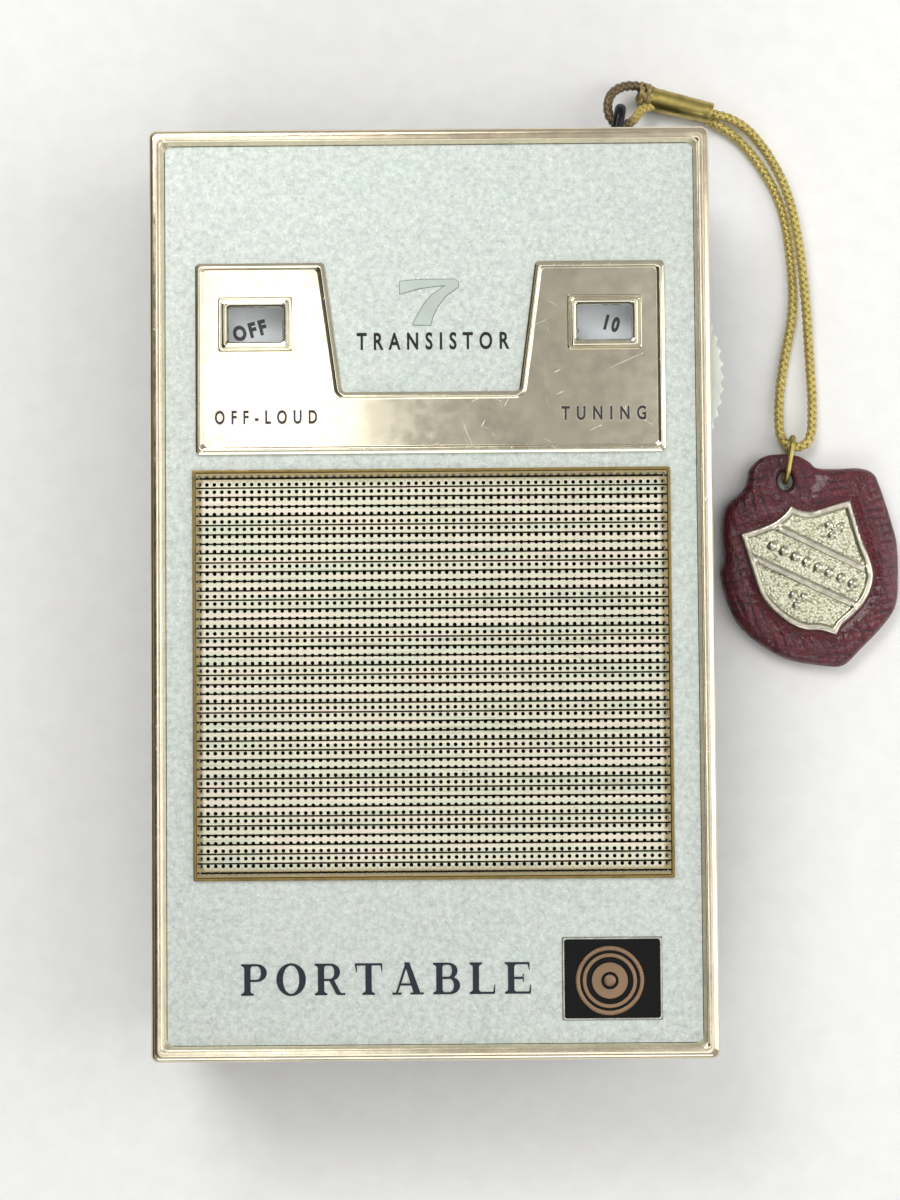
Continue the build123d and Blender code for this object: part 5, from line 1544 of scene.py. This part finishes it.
class RADIO_OT_grille(bpy.types.Operator):
    """Press and pierce the speaker sheet and rim it"""
    bl_idname = "radio.grille"
    bl_label = "Speaker grille"

    def execute(self, context):
        sizes = context.scene.radio_face
        colours = context.scene.radio_colours
        low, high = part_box("speaker_grille")
        width, height = high.x - low.x, high.y - low.y
        middle = middle_of(low, high)
        pitch = (width - 2 * sizes.grille_border) / sizes.hole_columns
        row_pitch = (height - 2 * sizes.grille_border) / sizes.hole_rows
        column = grille_column(pitch, row_pitch, sizes.hole_rows, sizes.hole_diameter, sizes.reed_pitch,
                               sizes.groove_width, sizes.groove_depth, middle[1], low.z + 0.02 * MM,
                               high.z - 0.06 * MM)
        part = bpy.data.objects.new("grille_column", column)
        context.scene.collection.objects.link(part)
        gilt = pressed_gilt(colours.mesh)
        tree, sockets = row_of_copies_tree()
        mesh = grown_mesh(tree, sockets, {"Part": part, "Copies": sizes.hole_columns, "Pitch": pitch,
                                          "Weld distance": 0.005 * MM, "Finish": gilt})
        bpy.data.objects.remove(part)
        builder = bmesh.new()
        builder.from_mesh(mesh)
        bmesh.ops.holes_fill(builder, edges=[edge for edge in builder.edges if edge.is_boundary], sides=0)
        mesh = close_up(builder)
        places = np.array([vert.co[:2] for vert in mesh.vertices])
        reach = np.minimum(width / 2 - np.abs(places[:, 0] - middle[0]),
                           height / 2 - np.abs(places[:, 1] - middle[1]))
        mark_vertices(mesh, "rim", 1 - smooth_step(reach, 1.1 * MM, 1.25 * MM))
        sheet = add_mesh_piece("speaker_sheet", mesh, gilt, 30.0)
        settle(sheet, "front", "gold_mesh", "speaker_grille")

        base, top = low.z / MM, high.z / MM
        rows = [(0.0, base, 0.2), (0.0, top - 0.12, 0.2), (0.05, top - 0.02, 0.2), (0.16, top, 0.2),
                (0.3, top - 0.02, 0.2), (0.4, top - 0.14, 0.2), (0.46, top - 0.2, 0.2), (0.46, base, 0.2)]
        builder = bmesh.new()
        mould(builder, rectangle(middle, width, height), in_metres(rows),
              closed=True, steps=5)
        rim = add_mesh_piece("grille_rim", close_up(builder),
                             old_brass("grille_rim_brass", display_colour(140, 120, 72), 0.34), 30.0)
        settle(rim, "front", "gold_mesh")
        dress(woven_cloth("black_cloth", display_colour(22, 21, 20), 0.3 * MM), "grille_cloth")
        return {"FINISHED"}


class RADIO_OT_badge(bpy.types.Operator):
    """Make the enamelled badge with its plain ringed disc"""
    bl_idname = "radio.badge"
    bl_label = "Badge"

    def execute(self, context):
        sizes = context.scene.radio_face
        colours = context.scene.radio_colours
        low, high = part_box("badge_plate")
        middle = middle_of(low, high)
        corner = sizes.badge_corner / MM
        corners = rectangle(middle, high.x - low.x, high.y - low.y)
        base, top = low.z / MM, high.z / MM
        edge_rows = [(0.0, base, corner), (0.0, top - 0.05, corner), (0.04, top + 0.02, corner),
                     (0.12, top + 0.04, corner),
                     (0.2, top + 0.02, corner), (0.24, top - 0.06, corner), (0.24, base, corner)]
        builder = bmesh.new()
        mould(builder, corners, in_metres(edge_rows), closed=True, steps=5)
        silver = dull_metal("silver_edge", display_colour(200, 200, 190), 0.25)
        edge = add_mesh_piece("badge_edge", close_up(builder), silver, 30.0)
        settle(edge, "front", "gilt_trim")

        plate_rows = [(0.22, base, corner), (0.22, top - 0.06, corner), (0.3, top, corner)]
        builder = bmesh.new()
        loops = mould(builder, corners, in_metres(plate_rows), steps=5)
        fill_between(builder, loops[0])
        fill_between(builder, loops[-1])
        plate = add_mesh_piece("badge_field", close_up(builder),
                               enamel_finish("black_enamel", colours.enamel), 30.0)
        settle(plate, "front", "black_enamel", "badge_plate")

        low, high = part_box("badge_roundel")
        centre = Vector(middle_of(low, high))
        radius = (high.x - low.x) / 2 / MM
        grooves = ((radius - 0.55, radius - 0.8), (radius - 1.3, radius - 1.85), (0.95, 0.7))
        profile = [(radius, 0.0), (radius, 0.22), (radius - 0.08, 0.32), (radius - 0.3, 0.36)]
        for outer, inner in grooves:
            profile += [(outer + 0.05, 0.31), (outer, 0.2), (inner, 0.2), (inner - 0.05, 0.31)]
        profile.append((0.3, 0.38))
        round_steps = 72

        def rings(rows):
            return [lay_loop(builder,
                             hoop(centre, Vector((reach, 0)) * MM, Vector((0, reach)) * MM, round_steps),
                             low.z + height * MM) for reach, height in rows]

        builder = bmesh.new()
        loops = rings(profile)
        for first, second in zip(loops, loops[1:]):
            bridge(builder, first, second)
        builder.faces.new(loops[-1])
        builder.faces.new(loops[0][::-1])
        disc = add_mesh_piece("badge_disc", close_up(builder),
                              gilt_finish("roundel_gilt", colours.roundel, 0.34, 0.4), 25.0)
        settle(disc, "front", "gilt_trim", "badge_roundel")

        builder = bmesh.new()
        for outer, inner in grooves:
            loops = rings(((outer, 0.12), (outer, 0.26), (inner, 0.26), (inner, 0.12)))
            for first, second in zip(loops, loops[1:] + loops[:1]):
                bridge(builder, first, second)
        inlay = add_mesh_piece("badge_inlay", close_up(builder), plate.data.materials[0], 25.0)
        settle(inlay, "front", "black_enamel")
        return {"FINISHED"}


# ------------------------------------------------------------------ controls and case

def turned(builder, middle, axis, side, profile, teeth, samples):
    """A turned piece. Each row of the closed profile is (radius, position along the axis, tooth depth)."""
    up = axis.cross(side)
    rings = []
    for radius, position, depth in profile:
        ring = []
        for sample in range(samples):
            angle = 2 * math.pi * sample / samples
            notch = depth * abs((angle * teeth / math.pi + 1) % 2 - 1)
            out = side * math.cos(angle) + up * math.sin(angle)
            ring.append(builder.verts.new(middle + axis * position + out * (radius - notch)))
        rings.append(ring)
    for first, second in zip(rings, rings[1:] + rings[:1]):
        bridge(builder, first, second)


class RADIO_OT_thumbwheels(bpy.types.Operator):
    """Mould the two toothed thumbwheels and print their dials"""
    bl_idname = "radio.thumbwheels"
    bl_label = "Thumbwheels"

    def execute(self, context):
        colours = context.scene.radio_colours
        plastic = moulded_plastic("wheel_plastic", colours.wheel, 0.34)
        # the dial card gets a painted glow that lifts it out of the shade behind its window
        card = moulded_plastic("dial_card", display_colour(240, 246, 252), 0.6, painted_glow=0.1)
        ink = printed_ink("dial_ink", colours.ink)
        brass = dull_metal("screw_brass", display_colour(190, 170, 110), 0.3)
        stations = ((0, "10"), (45, "13"), (90, "16"), (-45, "7"), (-90, "5.5"))
        loudness = [(58 * place, text) for place, text in enumerate(("OFF", "2", "4", "6", "8", "10"))]
        dials = {"tuning": (stations, -15.0, 6.5 * MM), "volume": (loudness, 14.5, 6.0 * MM)}
        for control, (marks, offset, reach) in dials.items():
            low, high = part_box(control + "_knob")
            centre = Vector((*middle_of(low, high), 0))
            radius = (high.x - low.x) / 2
            hub_low = low.z
            top = high.z
            rim_low = top - 3.0 * MM
            depth = 0.55 * MM
            profile = [(2.2 * MM, top, 0), (9.6 * MM, top, 0), (9.8 * MM, top - 0.25 * MM, 0),
                       (11.2 * MM, top - 0.25 * MM, 0), (11.4 * MM, top, 0), (radius - 1.0 * MM, top, 0),
                       (radius - 0.35 * MM, top - 0.06 * MM, 0.3 * depth),
                       (radius - 0.08 * MM, top - 0.25 * MM, 0.8 * depth),
                       (radius, top - 0.5 * MM, depth), (radius, rim_low + 0.5 * MM, depth),
                       (radius - 0.08 * MM, rim_low + 0.25 * MM, 0.8 * depth),
                       (radius - 0.35 * MM, rim_low + 0.06 * MM, 0.3 * depth),
                       (radius - 1.0 * MM, rim_low, 0), (5.0 * MM, rim_low, 0), (5.0 * MM, hub_low, 0),
                       (3.0 * MM, hub_low, 0), (3.0 * MM, top - 1.6 * MM, 0), (1.0 * MM, top - 1.6 * MM, 0),
                       (1.0 * MM, top - 0.9 * MM, 0), (2.2 * MM, top - 0.9 * MM, 0)]
            builder = bmesh.new()
            turned(builder, centre, Vector((0, 0, 1)), Vector((1, 0, 0)), profile, 60, 360)
            wheel = add_mesh_piece(control + "_thumbwheel", close_up(builder), plastic, 32.0)
            body = control + "_wheel"
            settle(wheel, body, "wheel_plastic", control + "_knob")

            builder = bmesh.new()
            card_rows = [(2.5 * MM, top - 0.02 * MM, 0), (2.5 * MM, top + 0.04 * MM, 0),
                         (9.5 * MM, top + 0.04 * MM, 0), (9.5 * MM, top - 0.02 * MM, 0)]
            turned(builder, centre, Vector((0, 0, 1)), Vector((1, 0, 0)), card_rows, 0, 96)
            dial = add_mesh_piece(control + "_dial_card", close_up(builder), card, 30.0)
            settle(dial, body, "wheel_plastic")
            for number, (angle, text) in enumerate(marks):
                width = {1: 0.95, 2: 1.75, 3: 4.0}[len(text)] * MM
                mark = lettering(f"{control}_mark_{number}", text, (centre.x, centre.y + reach), width,
                                 1.85 * MM, top + 0.03 * MM, 0.03 * MM, ink, boldness=0.055, spacing=1.35,
                                 turn=math.radians(angle + offset), pivot=(centre.x, centre.y))
                settle(mark, body, "wheel_plastic")
            dress(brass, control + "_knob_screw", control + "_shaft")
        return {"FINISHED"}


class RADIO_OT_case(bpy.types.Operator):
    """Finish the moulded case halves and the earphone socket"""
    bl_idname = "radio.case"
    bl_label = "Case"

    def execute(self, context):
        colours = context.scene.radio_colours
        dress(moulded_plastic("case_plastic", colours.case, 0.32, 0.2), "back_cover", "front_case")
        low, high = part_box("jack_nut")
        centre = Vector((0, (low.y + high.y) / 2, (low.z + high.z) / 2))
        outer = (high.y - low.y) / 2
        bore = 3.02 * MM
        profile = [(bore, high.x, 0), (bore, low.x + 0.15 * MM, 0), (bore + 0.15 * MM, low.x, 0),
                   (outer - 0.3 * MM, low.x, 0), (outer - 0.1 * MM, low.x + 0.12 * MM, 0.05 * MM),
                   (outer, low.x + 0.3 * MM, 0.16 * MM), (outer, high.x, 0.16 * MM)]
        builder = bmesh.new()
        turned(builder, centre, Vector((1, 0, 0)), Vector((0, 1, 0)), profile, 30, 180)
        nut = add_mesh_piece("socket_nut", close_up(builder),
                             gilt_finish("nut_gilt", display_colour(216, 200, 150), 0.22, 0.4), 30.0)
        settle(nut, "front", "gilt_trim", "jack_nut")
        dress(moulded_plastic("socket_plastic", display_colour(20, 20, 22), 0.4), "earphone_jack")
        return {"FINISHED"}


class RADIO_OT_insides(bpy.types.Operator):
    """Give every part inside the case its own finish"""
    bl_idname = "radio.insides"
    bl_label = "Insides"

    def execute(self, context):
        # finish, colour, roughness, nodes
        for name, shade, roughness, nodes in (
                ("tinned_steel", (186, 188, 190), 0.32,
                 ("board_screws", "clip_screws", "speaker_clips", "staple_plate", "if_transformers")),
                ("passivated_steel", (206, 196, 160), 0.38, ("speaker_frame", "volume_control")),
                ("nickel_can", (196, 196, 192), 0.24, ("transistors",)),
                ("trimmer_brass", (198, 176, 108), 0.3, ("trimmer_screws",)),
                ("ferrite_black", (60, 58, 60), 0.6, ("ferrite_rod", "speaker_magnet"))):
            dress(dull_metal(name, display_colour(*shade), roughness), *nodes)
        for name, shade, roughness, nodes in (
                ("cream_plastic", (232, 222, 196), 0.35, ("tuning_capacitor", "antenna_holders")),
                ("ceramic_body", (196, 120, 62), 0.5, ("ceramic_capacitors",)),
                ("diode_glass", (190, 120, 60), 0.12, ("detector_diode",)),
                ("snap_plastic", (18, 18, 18), 0.45, ("battery_snap", "battery_lead_black")),
                ("red_insulation", (170, 26, 22), 0.4, ("battery_lead_red", "speaker_leads"))):
            dress(moulded_plastic(name, display_colour(*shade), roughness), *nodes)
        # finish, two colours, width of a band, direction, softness of its edges, shader values, nodes
        for name, shades, width, axis, softness, values, nodes in (
                ("board_laminate", ((134, 88, 40), (150, 102, 50)), 0.5, "X", 0.02, {}, ("circuit_board",)),
                ("wound_wire", ((150, 78, 38), (206, 122, 66)), 0.11, "X", 0.3,
                 {"Metallic": 0.6, "Roughness": 0.35}, ("antenna_coil",)),
                ("steel_laminations", ((70, 68, 66), (150, 148, 144)), 0.25, "X", 0.2,
                 {"Metallic": 0.8}, ("driver_transformer", "output_transformer")),
                ("blue_sleeve", ((36, 74, 128), (222, 222, 214)), 6.0, "Z", 0.02, {},
                 ("electrolytic_capacitors",)),
                ("resistor_body", ((150, 104, 64), (120, 30, 26)), 0.55, "Y", 0.02, {}, ("resistors",)),
                ("battery_jacket", ((28, 46, 104), (206, 202, 190)), 23.0, "X", 0.02,
                 {"Metallic": 0.3, "Roughness": 0.35}, ("battery",))):
            colours = [display_colour(*shade) for shade in shades]
            dress(banded_finish(name, colours, width * MM, axis, values, softness), *nodes)
        dress(woven_cloth("cone_paper", display_colour(52, 48, 46), 0.5 * MM), "speaker_cone")
        dress(woven_cloth("foam_pad", display_colour(64, 64, 66), 0.25 * MM), "battery_pad")
        return {"FINISHED"}


OPERATORS = (RADIO_OT_stage, RADIO_OT_strap, RADIO_OT_strap_fittings, RADIO_OT_fob, RADIO_OT_hang_fob,
             RADIO_OT_bezel, RADIO_OT_panel,
             RADIO_OT_escutcheon, RADIO_OT_grille, RADIO_OT_badge, RADIO_OT_thumbwheels, RADIO_OT_case,
             RADIO_OT_insides)


class RADIO_PT_panel(bpy.types.Panel):
    """Lists the steps that dress the pocket radio"""
    bl_idname = "RADIO_PT_panel"
    bl_label = "Pocket radio"
    bl_space_type = "VIEW_3D"
    bl_region_type = "UI"
    bl_category = "Pocket radio"

    def draw(self, context):
        for operator in OPERATORS:
            self.layout.operator(operator.bl_idname)
        for settings in (context.scene.radio_face, context.scene.radio_strap, context.scene.radio_colours):
            box = self.layout.box()
            for name in settings.__annotations__:
                box.prop(settings, name)


SETTINGS = {"radio_face": RadioFaceSettings, "radio_strap": RadioStrapSettings,
            "radio_colours": RadioColourSettings}
CLASSES = (*SETTINGS.values(), *OPERATORS, RADIO_PT_panel)


def register():
    for kind in CLASSES:
        bpy.utils.register_class(kind)
    for name, kind in SETTINGS.items():
        setattr(bpy.types.Scene, name, bpy.props.PointerProperty(type=kind))


def unregister():
    for name in SETTINGS:
        delattr(bpy.types.Scene, name)
    for kind in reversed(CLASSES):
        bpy.utils.unregister_class(kind)


def main():
    register()
    for operator in OPERATORS:
        group, name = operator.bl_idname.split(".")
        getattr(getattr(bpy.ops, group), name)()


if __name__ == "__main__":
    main()
